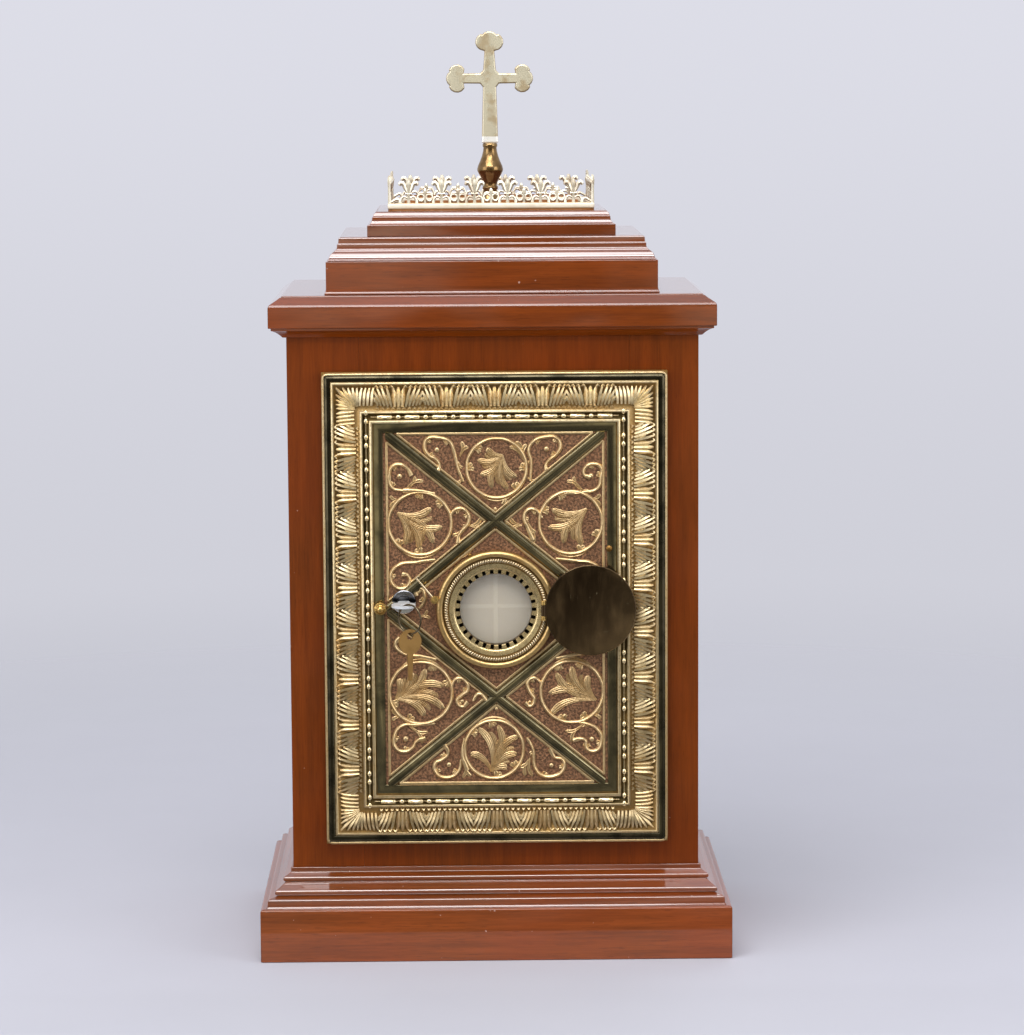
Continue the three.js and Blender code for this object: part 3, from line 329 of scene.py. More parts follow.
def polished_metal(name, colour, dull, rough, scratch=0.3, metal=1.0):
    """Polished metal with a thin bloom of the dull colour, fine scratches and specks."""
    finish = Finish(name)
    bloom = finish.noise(finish.place, 45, 3, 0.6)
    scratches = finish.noise(finish.stretched(0.12, 1, 1), 900, 2, 0.6)
    specks = finish.ramp(finish.noise(finish.place, 700, 1), 0.70, 0.76)
    base = finish.mix(finish.ramp(bloom, 0.35, 0.75), colour, dull)
    base = finish.mix(specks * scratch, base, toned(dull, 0.6))
    roughness = finish.ramp(bloom, 0.3, 0.8) * 0.12 + rough + (scratches - 0.5) * 0.08 * scratch
    return finish.surface(Base_Color=base, Metallic=metal, Roughness=roughness,
                          Normal=finish.bump(scratches, 0.05 * scratch, 0.05))


def painted_reflection_chrome(name, middle):
    """Chrome with a painted reflection: a dark room over its middle, a height, and a pale floor
    under it.
    """
    finish = Finish(name)
    height = finish.along("Z") * 1000 - middle
    blur = (finish.noise(finish.place, 130, 1) - 0.5) * 2.5
    # painted reflection: bright below the middle, dark just above it, grey higher up
    upper = finish.ramp(height + blur, -0.6, 0.2)
    reflection_fade = finish.ramp(height + blur * 2, 1.5, 8.5)
    base = finish.mix(reflection_fade, (0.10, 0.10, 0.11), (0.60, 0.60, 0.62))
    base = finish.mix(upper, (0.93, 0.94, 0.96), base)
    return finish.surface(Base_Color=base, Metallic=1.0, Roughness=reflection_fade * 0.06 + 0.08,
                          Normal=finish.bump(blur, 0.02, 0.05))


def gilt_brass(name, pale, deep, mottle, reach=0.0, metal=0.3, foot=0.0):
    """Bright gilt brass, deeper gold where it has worn, with painted shade on its flanks and
    undersides. reach is how far the sides count as fronts, and foot the height of a foot with a
    painted white highlight just over it."""
    finish = Finish(name)
    patch = finish.ramp(finish.noise(finish.place, 85, 2, 0.6), 0.48, 0.68)
    broad = finish.ramp(finish.noise(finish.stretched(1, 1, 0.4), 45, 2), 0.4, 0.7)
    # painted shade: deeper gold on faces that turn away from the front
    across = finish.ramp(finish.facing("Y") * finish.facing("Y")
                         + finish.facing("X") * finish.facing("X") * reach, 0.93, 0.35)
    # painted shade: darker on the undersides
    painted_underside_shade = finish.ramp(finish.facing("Z"), 0.25, -0.5)
    base = finish.mix(broad * 0.3, pale, toned(pale, 0.84))
    base = finish.mix(patch * mottle, base, deep)
    base = finish.mix(across * 0.7, base, deep)
    base = finish.mix(painted_underside_shade * 0.8, base, toned(deep, 0.7))
    # painted highlight: a band just over the foot mixed to near white
    if foot:
        low = finish.ramp(finish.along("Z"), (foot + 6) * MM, (foot + 5) * MM)
        base = finish.mix(low * 0.9, base, (1.0, 0.995, 0.97))
    return finish.surface(Base_Color=base, Metallic=metal, Roughness=patch * 0.1 + 0.26,
                          Normal=finish.bump(patch, 0.1, 0.1))


def clouded_bronze(name, cloud, dark):
    """Dark bronze, softly clouded and paler toward its foot, with a few pale specks."""
    finish = Finish(name)
    broad = finish.ramp(finish.noise(finish.place, 26, 2, 0.5), 0.42, 0.72)
    veil = finish.ramp(finish.noise(finish.stretched(1, 1, 0.3), 120, 2, 0.6), 0.42, 0.75)
    low = finish.ramp(finish.along("X") - finish.along("Z"), -0.25, -0.18)
    specks = finish.ramp(finish.noise(finish.place, 420, 1), 0.77, 0.80)
    base = finish.mix(broad * 0.5 + veil * 0.25 + low * 0.25, dark, cloud)
    base = finish.mix(specks * 0.7, base, (0.8, 0.74, 0.6))
    return finish.surface(Base_Color=base, Metallic=0.85, Roughness=broad * 0.08 + 0.16,
                          Normal=finish.bump(broad, 0.04, 0.1))


def stippled_ground(name, colour):
    """The field's ground: toned copper brass, punched all over."""
    finish = Finish(name)
    dots = finish.node("ShaderNodeTexVoronoi", {}, {"Vector": finish.place, "Scale": 620})
    patch = finish.noise(finish.place, 70, 3, 0.6)
    grit = finish.noise(finish.place, 520, 2, 0.7)
    pit = finish.ramp(dots, 0.15, 0.6)
    base = finish.mix(finish.ramp(grit, 0.38, 0.66), toned(colour, 0.66), toned(colour, 1.2))
    base = finish.mix(finish.ramp(patch, 0.4, 0.7) * 0.4, base,
                      (colour[0] * 0.8, colour[1] * 0.72, colour[2] * 0.66))
    return finish.surface(Base_Color=base, Metallic=0.55, Roughness=grit * 0.2 + 0.45,
                          Normal=finish.bump(pit * 0.6 + grit * 0.6, 0.6, 0.4))


def clear_glass(name):
    """Clear glass with a thin haze."""
    finish = Finish(name)
    haze = finish.noise(finish.place, 60, 2)
    return finish.surface(Base_Color=linear((0.95, 0.96, 0.96)), Roughness=haze * 0.04 + 0.02,
                          Alpha=0.16, IOR=1.45)


def pale_disc(name):
    """The pale disc behind the glass, with faint ruled lines and a lighter upright cross."""
    finish = Finish(name)
    x, z = finish.along("X") - DOOR_X * MM, finish.along("Z") - DOOR_Z * MM
    upright = finish.noise(finish.stretched(1, 1, 0.02), 700, 1)
    level = finish.noise(finish.stretched(0.02, 1, 1), 700, 1)
    post = 1 - finish.ramp(finish.maths("ABSOLUTE", x), 0.0012, 0.0024)
    bar = 1 - finish.ramp(finish.maths("ABSOLUTE", z - 0.001), 0.001, 0.0022)
    base = finish.mix(upright * 0.5 + level * 0.5, (0.61, 0.535, 0.375), (0.735, 0.65, 0.465))
    base = finish.mix(finish.maths("MAXIMUM", post, bar) * 0.3, base, (0.86, 0.79, 0.63))
    return finish.surface(Base_Color=base, Roughness=0.7,
                          Normal=finish.bump(upright + level, 0.2, 0.1))


def make_finishes():
    """Every finish, by name."""
    scene = bpy.context.scene
    cabinet, brass = scene.tabernacle_cabinet, scene.tabernacle_brass
    mouldings, plinth = tuple(cabinet.moulding), tuple(cabinet.plinth)
    light, hollow = tuple(brass.light), tuple(brass.hollow)
    made = {}
    for axis in "XY":
        made["moulding_" + axis] = varnished_wood("cornice_wood_" + axis, mouldings, axis)
        made["plinth_" + axis] = varnished_wood("plinth_wood_" + axis, plinth, axis, 0.8, 0.7,
                                                1.6)
    made.update({
        "base_X": varnished_wood("base_wood", toned(plinth, 0.95), "X", 0.8, 1.0, 2.3),
        "step_X": varnished_wood("step_wood", mouldings, "X", 1.0, 1.0, 2.2),
        "veneer": varnished_wood("upright_veneer", tuple(cabinet.veneer), "Z", 1.0, 0.14, 1.5),
        "inside": plain_wood("inside_wood", (0.6, 0.42, 0.27), "X"),
        "back": plain_wood("back_wood", (0.56, 0.37, 0.23), "Z"),
        # the leaf border, with painted shade toward the door's foot
        "border": cast_brass("leaf_border_brass", toned(light, 1.12), (0.64, 0.50, 0.28),
                             3.0, 6.6, 0.33, 0.4, 0.45),
        "channel": cast_brass("channel_brass", (0.66, 0.56, 0.36), (0.34, 0.28, 0.15), 4.2, 6.2),
        "beads": cast_brass("bead_brass", toned(light, 1.16), toned(hollow, 1.15),
                            4.4, 6.0, 0.22, 0.12),
        "foliage": cast_brass("foliage_brass", (0.85, 0.74, 0.55), (0.50, 0.36, 0.22),
                              1.1, 3.0, 0.33, 0.3),
        "collar": cast_brass("window_brass", (0.81, 0.685, 0.46), (0.55, 0.42, 0.22),
                             5.6, 9.2, 0.3),
        "bezel": cast_brass("bezel_brass", (0.86, 0.77, 0.57), (0.34, 0.27, 0.16),
                            2.6, 4.7, 0.26),
        "pearl": cast_brass("pearl_brass", (0.90, 0.82, 0.67), (0.24, 0.17, 0.09),
                            7.4, 8.3, 0.24),
        "small": cast_brass("fitting_brass", (0.82, 0.68, 0.40), (0.50, 0.36, 0.17),
                            3.0, 9.0, 0.2),
        # painted shadow for the gaps behind the notches
        "gap": polished_metal("dark_gap", (0.06, 0.045, 0.03), (0.03, 0.025, 0.02), 0.5),
        "gilt": gilt_brass("gilt_brass", (0.98, 0.95, 0.86), (0.58, 0.41, 0.19), 0.5, 0.9),
        "rail": gilt_brass("rail_brass", (1.0, 0.97, 0.89), (0.80, 0.66, 0.44), 0.25, 1.0, 0.0),
        "shade": gilt_brass("crest_shade", (0.72, 0.47, 0.27), (0.50, 0.30, 0.15),
                            0.5, 0.0, 0.2),
        # the cross, with a painted highlight band over its foot
        "cross": gilt_brass("cross_brass", (0.90, 0.87, 0.76), (0.64, 0.51, 0.29),
                            0.55, 0.0, 0.3, CROSS_FOOT),
        "rim": polished_metal("rim_brass", (0.36, 0.33, 0.255), (0.17, 0.16, 0.125), 0.2),
        "band": polished_metal("band_brass", (0.62, 0.57, 0.43), (0.38, 0.355, 0.27), 0.09,
                               0.3, 0.95),
        "plate": polished_metal("core_plate", (0.60, 0.53, 0.38), (0.54, 0.47, 0.33), 0.36),
        "cover": clouded_bronze("cover_bronze", (0.62, 0.51, 0.36), (0.26, 0.20, 0.13)),
        "knop": polished_metal("knop_brass", (0.64, 0.53, 0.36), (0.40, 0.29, 0.17), 0.14),
        "lock_face": painted_reflection_chrome("lock_face", LOCK_Z),
        "steel": polished_metal("plain_steel", (0.56, 0.57, 0.59), (0.42, 0.42, 0.44), 0.3),
        "wire": polished_metal("ring_wire", (0.46, 0.41, 0.32), (0.30, 0.26, 0.2), 0.2),
        "nickel": polished_metal("key_nickel", (0.93, 0.94, 0.95), (0.82, 0.83, 0.84), 0.3,
                                 0.2, 0.35),
        "key": polished_metal("key_brass", (0.66, 0.51, 0.29), (0.52, 0.39, 0.2), 0.36, 0.3, 0.7),
        "ground": stippled_ground("field_ground", tuple(brass.ground)),
        "glass": clear_glass("window_glass"),
        "disc": pale_disc("host_disc"),
    })
    return made


# The finishes by name, filled by the stage's operator
FINISHES = {}


# Ways of working

def alone(*pieces):
    """Selects these pieces and nothing else."""
    bpy.ops.object.select_all(action="DESELECT")
    for piece in pieces:
        piece.select_set(True)
    bpy.context.view_layer.objects.active = pieces[0]


@contextmanager
def editing(piece):
    """Edit mode on one piece, with nothing in it selected."""
    alone(piece)
    bpy.ops.object.mode_set(mode="EDIT")
    bpy.ops.mesh.select_all(action="DESELECT")
    yield bmesh.from_edit_mesh(piece.data)
    bpy.ops.object.mode_set(mode="OBJECT")


def select_faces(piece, mesh, wanted):
    """Selects the faces that wanted() says, in edit mode."""
    bpy.ops.mesh.select_mode(type="FACE")
    for face in mesh.faces:
        face.select_set(wanted(face))
    bmesh.update_edit_mesh(piece.data)


def outward(piece):
    """Turns the piece's faces outwards."""
    with editing(piece):
        bpy.ops.mesh.select_all(action="SELECT")
        bpy.ops.mesh.normals_make_consistent(inside=False)
    return piece


def modified(piece, kind, **settings):
    """Adds a modifier and applies it."""
    alone(piece)
    modifier = piece.modifiers.new(kind.lower(), kind)
    for key, setting in settings.items():
        setattr(modifier, key, setting)
    bpy.ops.object.modifier_apply(modifier=modifier.name)
    return piece


def settled(piece):
    """Puts the piece's place, turn and size into its mesh."""
    alone(piece)
    bpy.ops.object.transform_apply(location=True, rotation=True, scale=True)
    return piece


def added(name, primitive, **settings):
    """A new primitive, with nothing else selected."""
    bpy.ops.object.select_all(action="DESELECT")
    primitive(**settings)
    piece = bpy.context.object
    piece.name = name
    return piece


def block(name, low, high):
    """A board or plate from its lowest to its highest corner."""
    middle = [(a + b) / 2 * MM for a, b in zip(low, high)]
    piece = added(name, bpy.ops.mesh.primitive_cube_add, size=1, location=middle)
    piece.scale = [(b - a) * MM for a, b in zip(low, high)]
    return settled(piece)


def rod(name, radius, length, sides, **place):
    """A round bar. Without a turn it stands upright."""
    return settled(added(name, bpy.ops.mesh.primitive_cylinder_add, vertices=sides,
                         radius=radius * MM, depth=length * MM, **place))


def ball(name, radius, segments, rings):
    """A small round bead at the origin."""
    return added(name, bpy.ops.mesh.primitive_uv_sphere_add, radius=radius * MM,
                 segments=segments, ring_count=rings)


def turned(name, centre, outline, sides, axis="Y"):
    """A turned piece: an outline of (radius, place along the axis), spun about its axis: Y, with
    a centre of (x, z), or Z, with a centre of (x, y)."""
    mesh = bpy.data.meshes.new(name)
    across = Vector((1, 0, 0))
    way = Vector((0, 1, 0)) if axis == "Y" else Vector((0, 0, 1))
    foot = Vector((centre[0], 0, centre[1])) if axis == "Y" else Vector((*centre, 0))
    points = [(foot + across * r + way * h) * MM for r, h in outline]
    mesh.from_pydata(points, [(i, i + 1) for i in range(len(points) - 1)], [])
    piece = bpy.data.objects.new(name, mesh)
    bpy.context.scene.collection.objects.link(piece)
    with editing(piece):
        bpy.ops.mesh.select_all(action="SELECT")
        bpy.ops.mesh.spin(steps=sides, angle=2 * math.pi, center=foot * MM, axis=way)
        bpy.ops.mesh.select_all(action="SELECT")
        bpy.ops.mesh.remove_doubles(threshold=2e-6)
        bpy.ops.mesh.normals_make_consistent(inside=False)
    return piece


def lines(name, strokes, sides, steps):
    """Rounded lines as one mesh. A stroke is its points (x, z, rise on the door), its radii
    and whether it is closed. sides and steps are how finely it is rounded and bent."""
    curve = bpy.data.curves.new(name, "CURVE")
    curve.dimensions = "3D"
    curve.fill_mode = "FULL"
    curve.bevel_depth = MM
    curve.bevel_resolution = sides
    curve.resolution_u = steps
    curve.use_fill_caps = True
    for points, radii, closed in strokes:
        spline = curve.splines.new("BEZIER")
        spline.bezier_points.add(len(points) - 1)
        spline.use_cyclic_u = closed
        for knot, (x, z, rise), radius in zip(spline.bezier_points, points, radii):
            knot.co = (x * MM, -rise * MM, z * MM)
            knot.radius = radius
            knot.handle_left_type = knot.handle_right_type = "AUTO"
    piece = bpy.data.objects.new(name, curve)
    bpy.context.scene.collection.objects.link(piece)
    alone(piece)
    bpy.ops.object.convert(target="MESH")
    return outward(bpy.context.object)


def repeated(name, pattern, places):
    """Copies of a pattern piece, each with its own mesh, joined into one."""
    copies = []
    for place in places:
        copy = pattern.copy()
        copy.data = pattern.data.copy()
        copy.data.transform(place)
        bpy.context.scene.collection.objects.link(copy)
        copies.append(copy)
    bpy.data.objects.remove(pattern)
    return joined(name, copies)


def joined(name, pieces):
    """Several pieces as one, under a name."""
    alone(*pieces)
    if len(pieces) > 1:
        bpy.ops.object.join()
    piece = bpy.context.object
    piece.name = name
    return piece


def smooth(piece, angle):
    """Shades smoothly over edges that turn by less than the angle in degrees."""
    alone(piece)
    bpy.ops.object.shade_smooth_by_angle(angle=math.radians(angle), keep_sharp_edges=False)
    return piece


def copy_of(node):
    """A node's mesh as a new piece, its loose triangles merged into faces."""
    source = frame["nodes"][node]
    piece = source.copy()
    piece.data = source.data.copy()
    piece.data.materials.clear()
    piece.parent = None
    piece.matrix_world = Matrix.Identity(4)
    piece.name = node + "_finished"
    for collection in source.users_collection:
        collection.objects.link(piece)
    with editing(piece):
        bpy.ops.mesh.select_all(action="SELECT")
        bpy.ops.mesh.remove_doubles(threshold=2e-6)
        bpy.ops.mesh.dissolve_limited(angle_limit=math.radians(0.5))
    return piece


def dressed(piece, body, slot, *finishes, replaces=()):
    """Gives a finished piece its finishes and the body that it rides on, and hides the nodes that
    it stands for."""
    for finish in finishes:
        piece.data.materials.append(FINISHES[finish])
    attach(piece, body)
    if replaces:
        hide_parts(*replaces)
    return piece


def softened(node, finish, slot, edge, angle=40):
    """A node with its sharp edges rounded over by a width, and shaded smoothly over edges that
    turn by less than the angle."""
    piece = copy_of(node)
    modified(piece, "BEVEL", width=edge * MM, segments=2, limit_method="ANGLE",
             angle_limit=math.radians(25))
    smooth(piece, angle)
    modified(piece, "WEIGHTED_NORMAL", keep_sharp=True)
    return dressed(piece, BODY_OF[node], slot, finish, replaces=(node,))


def kept_shape(node, finish, slot):
    """A node's own shape, merged and smoothly shaded."""
    piece = smooth(copy_of(node), 30)
    return dressed(piece, BODY_OF[node], slot, finish, replaces=(node,))


def refinished(node, finish):
    """A node that keeps its own shape, with a better finish."""
    node = frame["nodes"][node]
    node.data.materials.clear()
    node.data.materials.append(FINISHES[finish])


def on_door(piece):
    """Moves a piece drawn on the door's own plate to its place."""
    piece.data.transform(Matrix.Translation((DOOR_X * MM, PLATE_Y * MM, DOOR_Z * MM)))
    return piece


# Cabinet

# The grain's direction in the mouldings of each side
SIDES = {"front": "X", "rear": "X", "left": "Y", "right": "Y"}


def make_cabinet():
    """Rounds the edges of the mouldings and boards, and finishes all the wood."""
    edge = bpy.context.scene.tabernacle_cabinet.edge / MM
    for side, grain in SIDES.items():
        base = "base_X" if grain == "X" else "plinth_Y"
        softened("plinth_board_" + side, "plinth_" + grain, "plinth_wood", edge)
        softened("base_moulding_" + side, base, "plinth_wood", edge)
        softened("cornice_moulding_" + side, "moulding_" + grain, "walnut_veneer", edge)
    for node, finish in (("top_board", "moulding_X"), ("frieze_box", "moulding_X"),
                         ("step_moulding", "step_X"), ("cap_block", "step_X")):
        softened(node, finish, "walnut_veneer", edge)
    for node in ("left_side_panel", "right_side_panel", "front_stile_left",
                 "front_stile_right", "front_rail_top", "front_rail_bottom"):
        refinished(node, "veneer")
    refinished("back_panel", "back")
    for node in ("bottom_board", "cabinet_floor"):
        refinished(node, "inside")


# Gallery and cross

# Half the gallery's width and depth, and how far the first lily stands from a corner
GALLERY_HALF_W, GALLERY_HALF_D = measured("X", "gallery_front")[2], measured("Y", "gallery_left")[2]
CREST_END = 17.5

# Spans between lilies, on the long sides and on the short ones
LONG_BAYS, SHORT_BAYS = 5, 3


def palmette(u):
    """A lily with a middle lobe and two curled ones, on a knot and a stem."""
    strokes = [([(u, 5.8, 0), (u, 9.5, 0), (u, 14, 0)], [1.6, 1.1, 1.6], False),
               ([(u, 14, 0), (u, 18, 0), (u, 22.5, 0), (u, 26.0, 0)], [1.2, 1.7, 2.2, 1.1], False),
               ([(u - 2.8, 14, 0), (u + 2.8, 14, 0)], [1.3, 1.3], False)]
    for side in (-1, 1):
        strokes.append(([(u + side * 0.9, 14.5, 0), (u + side * 2.9, 18.6, 0),
                         (u + side * 4.9, 22.8, 0), (u + side * 6.6, 23.0, 0),
                         (u + side * 7.3, 20.8, 0)], [1.0, 1.6, 2.2, 1.9, 1.2], False))
        strokes.append(([(u + side * 1.2, 10.5, 0), (u + side * 4.2, 11.6, 0),
                         (u + side * 6.4, 8.8, 0), (u + side * 6.9, 5.8, 0)],
                        [0.9, 1.2, 1.3, 1.3], False))
    return strokes


def eyed_arch(u):
    """The low arch between two lilies, with two round eyes and a bud."""
    strokes = [([(u, 5.8, 0), (u, 10, 0), (u, 14.2, 0)], [1.2, 0.9, 1.3], False),
               ([(u, 14.2, 0), (u, 16.6, 0), (u, 18.6, 0)], [1.5, 1.6, 0.6], False)]
    for side in (-1, 1):
        eye = [(u + side * (3.5 + 2.7 * math.cos(a)), 10.8 + 2.7 * math.sin(a), 0)
               for a in (i * math.pi / 3 for i in range(6))]
        strokes.append((eye, [1.05] * 6, True))
        strokes.append(([(u + side * 1.4, 14.6, 0), (u + side * 4.6, 14.4, 0),
                         (u + side * 5.8, 12.2, 0)], [1.0, 1.2, 0.7], False))
    return strokes


def crest_end(half_run, end):
    """The scroll and the corner post at one end of a cresting: -1 left, 1 right."""
    foot, post = end * (half_run - CREST_END + 7.5), end * (half_run - 1.1)
    return [([(foot, 6, 0), (foot + end * 1.5, 9.6, 0), (foot + end * 5, 8.4, 0),
              (foot + end * 9, 5.8, 0)], [1.2, 1.4, 1.2, 1.0], False),
            ([(post, 5.8, 0), (post, 18, 0), (post, 27.5, 0), (post - end * 0.6, 29.4, 0)],
             [0.95, 0.8, 1.0, 0.6], False)]


def make_gallery():
    """Four crestings, each drawn as the front one and then turned to its side."""
    for turn, side in enumerate(("front", "right", "rear", "left")):
        half_run, reach, bays = ((GALLERY_HALF_W, GALLERY_HALF_D + 0.1, LONG_BAYS) if turn % 2 == 0
                                 else (GALLERY_HALF_D, GALLERY_HALF_W + 0.1, SHORT_BAYS))
        bay = 2 * (half_run - CREST_END) / bays
        strokes = []
        for i in range(bays + 1):
            strokes += palmette(-half_run + CREST_END + i * bay)
            if i < bays:
                strokes += eyed_arch(-half_run + CREST_END + (i + 0.5) * bay)
        strokes += crest_end(half_run, -1) + crest_end(half_run, 1)
        crest = lines("crest", strokes, 1, 3)
        crest.data.transform(Matrix.Diagonal((1, 0.85, 1, 1)))
        crest.data.transform(Matrix.Translation((0, -(reach - 2) * MM, RAIL_FOOT * MM)))
        # a thin lower rail in painted shade: the shadow under the upper rail
        lower = block("rail", (-half_run + 0.4, -reach + 0.5, RAIL_FOOT),
                      (half_run - 0.4, -reach + 3.9, RAIL_FOOT + 1.2))
        upper = block("rail", (-half_run, -reach, RAIL_FOOT + 1.0),
                      (half_run, -reach + 4.0, RAIL_FOOT + 6.4))
        modified(upper, "BEVEL", width=1.6 * MM, segments=4)
        # a sheet of painted shade behind the crest's openings
        panel = block("foot_panel", (-half_run + 14, -reach + 2.2, RAIL_FOOT + 6),
                      (half_run - 14, -reach + 3.0, RAIL_FOOT + 8.6))
        for part, finish in ((crest, "gilt"), (upper, "rail"), (lower, "shade"), (panel, "shade")):
            part.data.materials.append(FINISHES[finish])
        piece = joined("gallery_" + side + "_cresting", [crest, upper, lower, panel])
        piece.data.transform(Matrix.Rotation(turn * math.pi / 2, 4, "Z"))
        smooth(piece, 45)
        dressed(piece, "cabinet", "bright_brass", replaces=("gallery_" + side,))


def make_cross():
    """The cross with its edges rounded over, and the turned knop under it."""
    softened("altar_cross", "cross", "bright_brass", 1.5)
    knop = turned("turned_knop", (0, 0), (
        (0, 678.4), (5.4, 678.4), (6.3, 677.6), (6.3, 675.8), (5.6, 674.6), (6.0, 671.5),
        (7.0, 667.5), (8.6, 663.2), (10.4, 659.2), (11.1, 656.4), (10.9, 654.8), (9.6, 652.0),
        (7.6, 648.6), (6.2, 645.4), (5.7, 642.6), (6.6, 641.4), (6.6, 639.8), (5.7, 638.6),
        (6.6, 634.5), (9.4, 630.4), (12.6, 628.0), (13.9, 626.6), (13.9, 623.8), (0, 623.8)),
        48, "Z")
    smooth(knop, 50)
    dressed(knop, "cabinet", "bright_brass", "knop", replaces=("cross_knop",))


# Door frame

# Outlines across the frame: distance in from the door's edge, and rise
FRAME_EDGE = ((0, 3.0), (0.3, 4.2), (0.9, 5.0), (1.7, 5.2), (2.2, 4.8), (2.6, 4.3), (3.2, 5.0),
              (4.2, 5.5), (4.9, 5.6))
FRAME_FACE = ((4.7, 5.5), (6.2, 5.2), (7.2, 4.4), (7.7, 3.9), (8.0, 5.2), (8.6, 5.9), (9.4, 5.9),
              (10.0, 5.0), (10.4, 3.6), (28.0, 3.6), (31.2, 3.8), (31.7, 5.8), (32.3, 6.9),
              (33.0, 7.0), (33.6, 6.0), (33.9, 4.0), (38.9, 4.0), (39.3, 5.8),
              (39.9, 6.8), (41.0, 7.0), (41.8, 6.4))


def ring(name, half_w, half_h, back, outline, corner=0):
    """A closed frame worked from a block: its front is inset step by step along the outline of
    (distance in, rise), and the hole goes through to the back."""
    first, rise = outline[0]
    half_w, half_h = half_w - first, half_h - first
    piece = block(name, (-half_w, -rise, -half_h), (half_w, -back, half_h))
    with editing(piece) as mesh:
        if corner:
            bpy.ops.mesh.select_mode(type="EDGE")
            for edge in mesh.edges:
                run = edge.verts[0].co - edge.verts[1].co
                edge.select_set(abs(run.y) > 0.5 * MM and abs(run.x) + abs(run.z) < 0.1 * MM)
            bmesh.update_edit_mesh(piece.data)
            bpy.ops.mesh.bevel(offset=corner * MM, segments=6, affect="EDGES")
        select_faces(piece, mesh, lambda face: face.normal.y < -0.9)
        for (last, before), (inset, rise) in zip(outline, outline[1:]):
            bpy.ops.mesh.inset(thickness=(inset - last) * MM, depth=0, use_even_offset=True)
            bpy.ops.transform.translate(value=(0, (before - rise) * MM, 0))
        bpy.ops.mesh.delete(type="FACE")
        select_faces(piece, mesh, lambda face: face.normal.y > 0.9)
        bpy.ops.mesh.inset(thickness=(outline[-1][0] - first) * MM, depth=0, use_even_offset=True)
        bpy.ops.mesh.delete(type="FACE")
        bpy.ops.mesh.select_mode(type="EDGE")
        bpy.ops.mesh.select_non_manifold()
        bpy.ops.mesh.bridge_edge_loops()
        bpy.ops.mesh.select_all(action="SELECT")
        bpy.ops.mesh.normals_make_consistent(inside=False)
    return piece


def make_door_frame():
    """The frame's mouldings as two rings, in front of the CAD mouldings' backs."""
    edge = ring("frame_edge", DOOR_HALF_W, DOOR_HALF_H, 0, FRAME_EDGE, 5.0)
    face = ring("frame_face", DOOR_HALF_W, DOOR_HALF_H, 0, FRAME_FACE)
    parts = [on_door(joined("frame_front", [edge, face]))]
    # the mouldings' backs, with the hinges' notches, behind the plate
    for node in DOOR_MOULDINGS:
        back = copy_of(node)
        with editing(back):
            bpy.ops.mesh.select_all(action="SELECT")
            bpy.ops.mesh.bisect(plane_co=(0, (PLATE_Y - 0.2) * MM, 0), plane_no=(0, 1, 0),
                                use_fill=True, clear_inner=True)
        parts.append(back)
    piece = joined("door_frame", parts)
    smooth(piece, 50)
    dressed(piece, "door", "cast_brass", "border", "rim", "channel", replaces=DOOR_MOULDINGS)
    # the dark rim and the channel under the beads, by their distance from the door's edge
    for face in piece.data.polygons:
        middle = face.center / MM
        inset = min(DOOR_HALF_W - abs(middle.x - DOOR_X), DOOR_HALF_H - abs(middle.z - DOOR_Z))
        if middle.y < PLATE_Y - 1:
            face.material_index = 1 if 2.3 < inset < 7.8 else 2 if 33.7 < inset < 39.2 else 0


# The leaves' feet and the corner leaves' feet, in from the door's edge, and the run that the
# corner leaves take up
LEAF_INSET, CORNER_INSET, LEAF_CORNER = 31.6, 30.4, 44.0

# The bead rows' line, in from the door's edge, and the beads' rise
BEAD_INSET, BEAD_RISE = 36.6, 5.2


def band_rise(v):
    """How far the leaves' middle line stands proud, v from the band's inner edge."""
    return 4.0 + 2.1 * math.sin(math.pi * min(max(v / 21.0, 0.0), 1.0))


def leaf_ribs():
    """One acanthus leaf of the border, along +x, growing from 0 to 20 across in +z."""
    ribs = [(((0, 3.6), (0, 9), (0, 14), (0, 18.4)), 1.9)]
    for side in (1, -1):
        ribs.append((((side * 3.2, 3.4), (side * 3.3, 9), (side * 3.7, 14), (side * 4.6, 17.8)),
                     1.6))
        for k, (foot, tip, reach) in enumerate(((6.0, 9.2, 18.4), (8.6, 13.4, 18.6),
                                                (11.4, 17.0, 18.2), (14.4, 19.4, 15.6),
                                                (17.2, 19.9, 10.4))):
            low = 3.4 + 0.3 * k
            ribs.append((((side * foot, low),
                          (side * (foot * 0.66 + tip * 0.34), low + reach * 0.3),
                          (side * (foot * 0.3 + tip * 0.7), low + (reach - low) * 0.68),
                          (side * (tip + 0.6), reach)), 1.45 - 0.06 * k))
    strokes = []
    for points, radius in ribs:
        strokes.append(([(x, z, band_rise(z)) for x, z in points],
                        [radius * 0.75, radius, radius, radius * 0.6], False))
        # a fine vein beside each rib
        (ax, az), (bx, bz), (cx, cz) = points[:3]
        shift = 1.55 if ax >= 0 else -1.55
        strokes.append(([(ax + shift, az + 1, 4.0), (bx + shift, bz, band_rise(bz) - 0.4),
                         (cx + shift, cz - 1, band_rise(cz) - 0.5)], [0.5, 0.8, 0.5], False))
    # hooked tips along the outer edge, and a row of small buds along the foot
    for x in (-17.6, -13.6, -9.4, -5.0, 5.0, 9.4, 13.6, 17.6):
        hook = 1 if x > 0 else -1
        strokes.append(([(x - hook * 0.6, 17.4, 5.4), (x + hook * 0.9, 19.5, 5.6),
                         (x + hook * 2.4, 18.2, 5.0)], [0.6, 0.95, 0.5], False))
    for i in range(9):
        x = (i - 4) * 4.4
        strokes.append(([(x - 1.2, 1.2, 4.4), (x, 2.6, 4.9), (x + 1.2, 1.2, 4.4)],
                        [0.7, 1.2, 0.7], False))
    return strokes


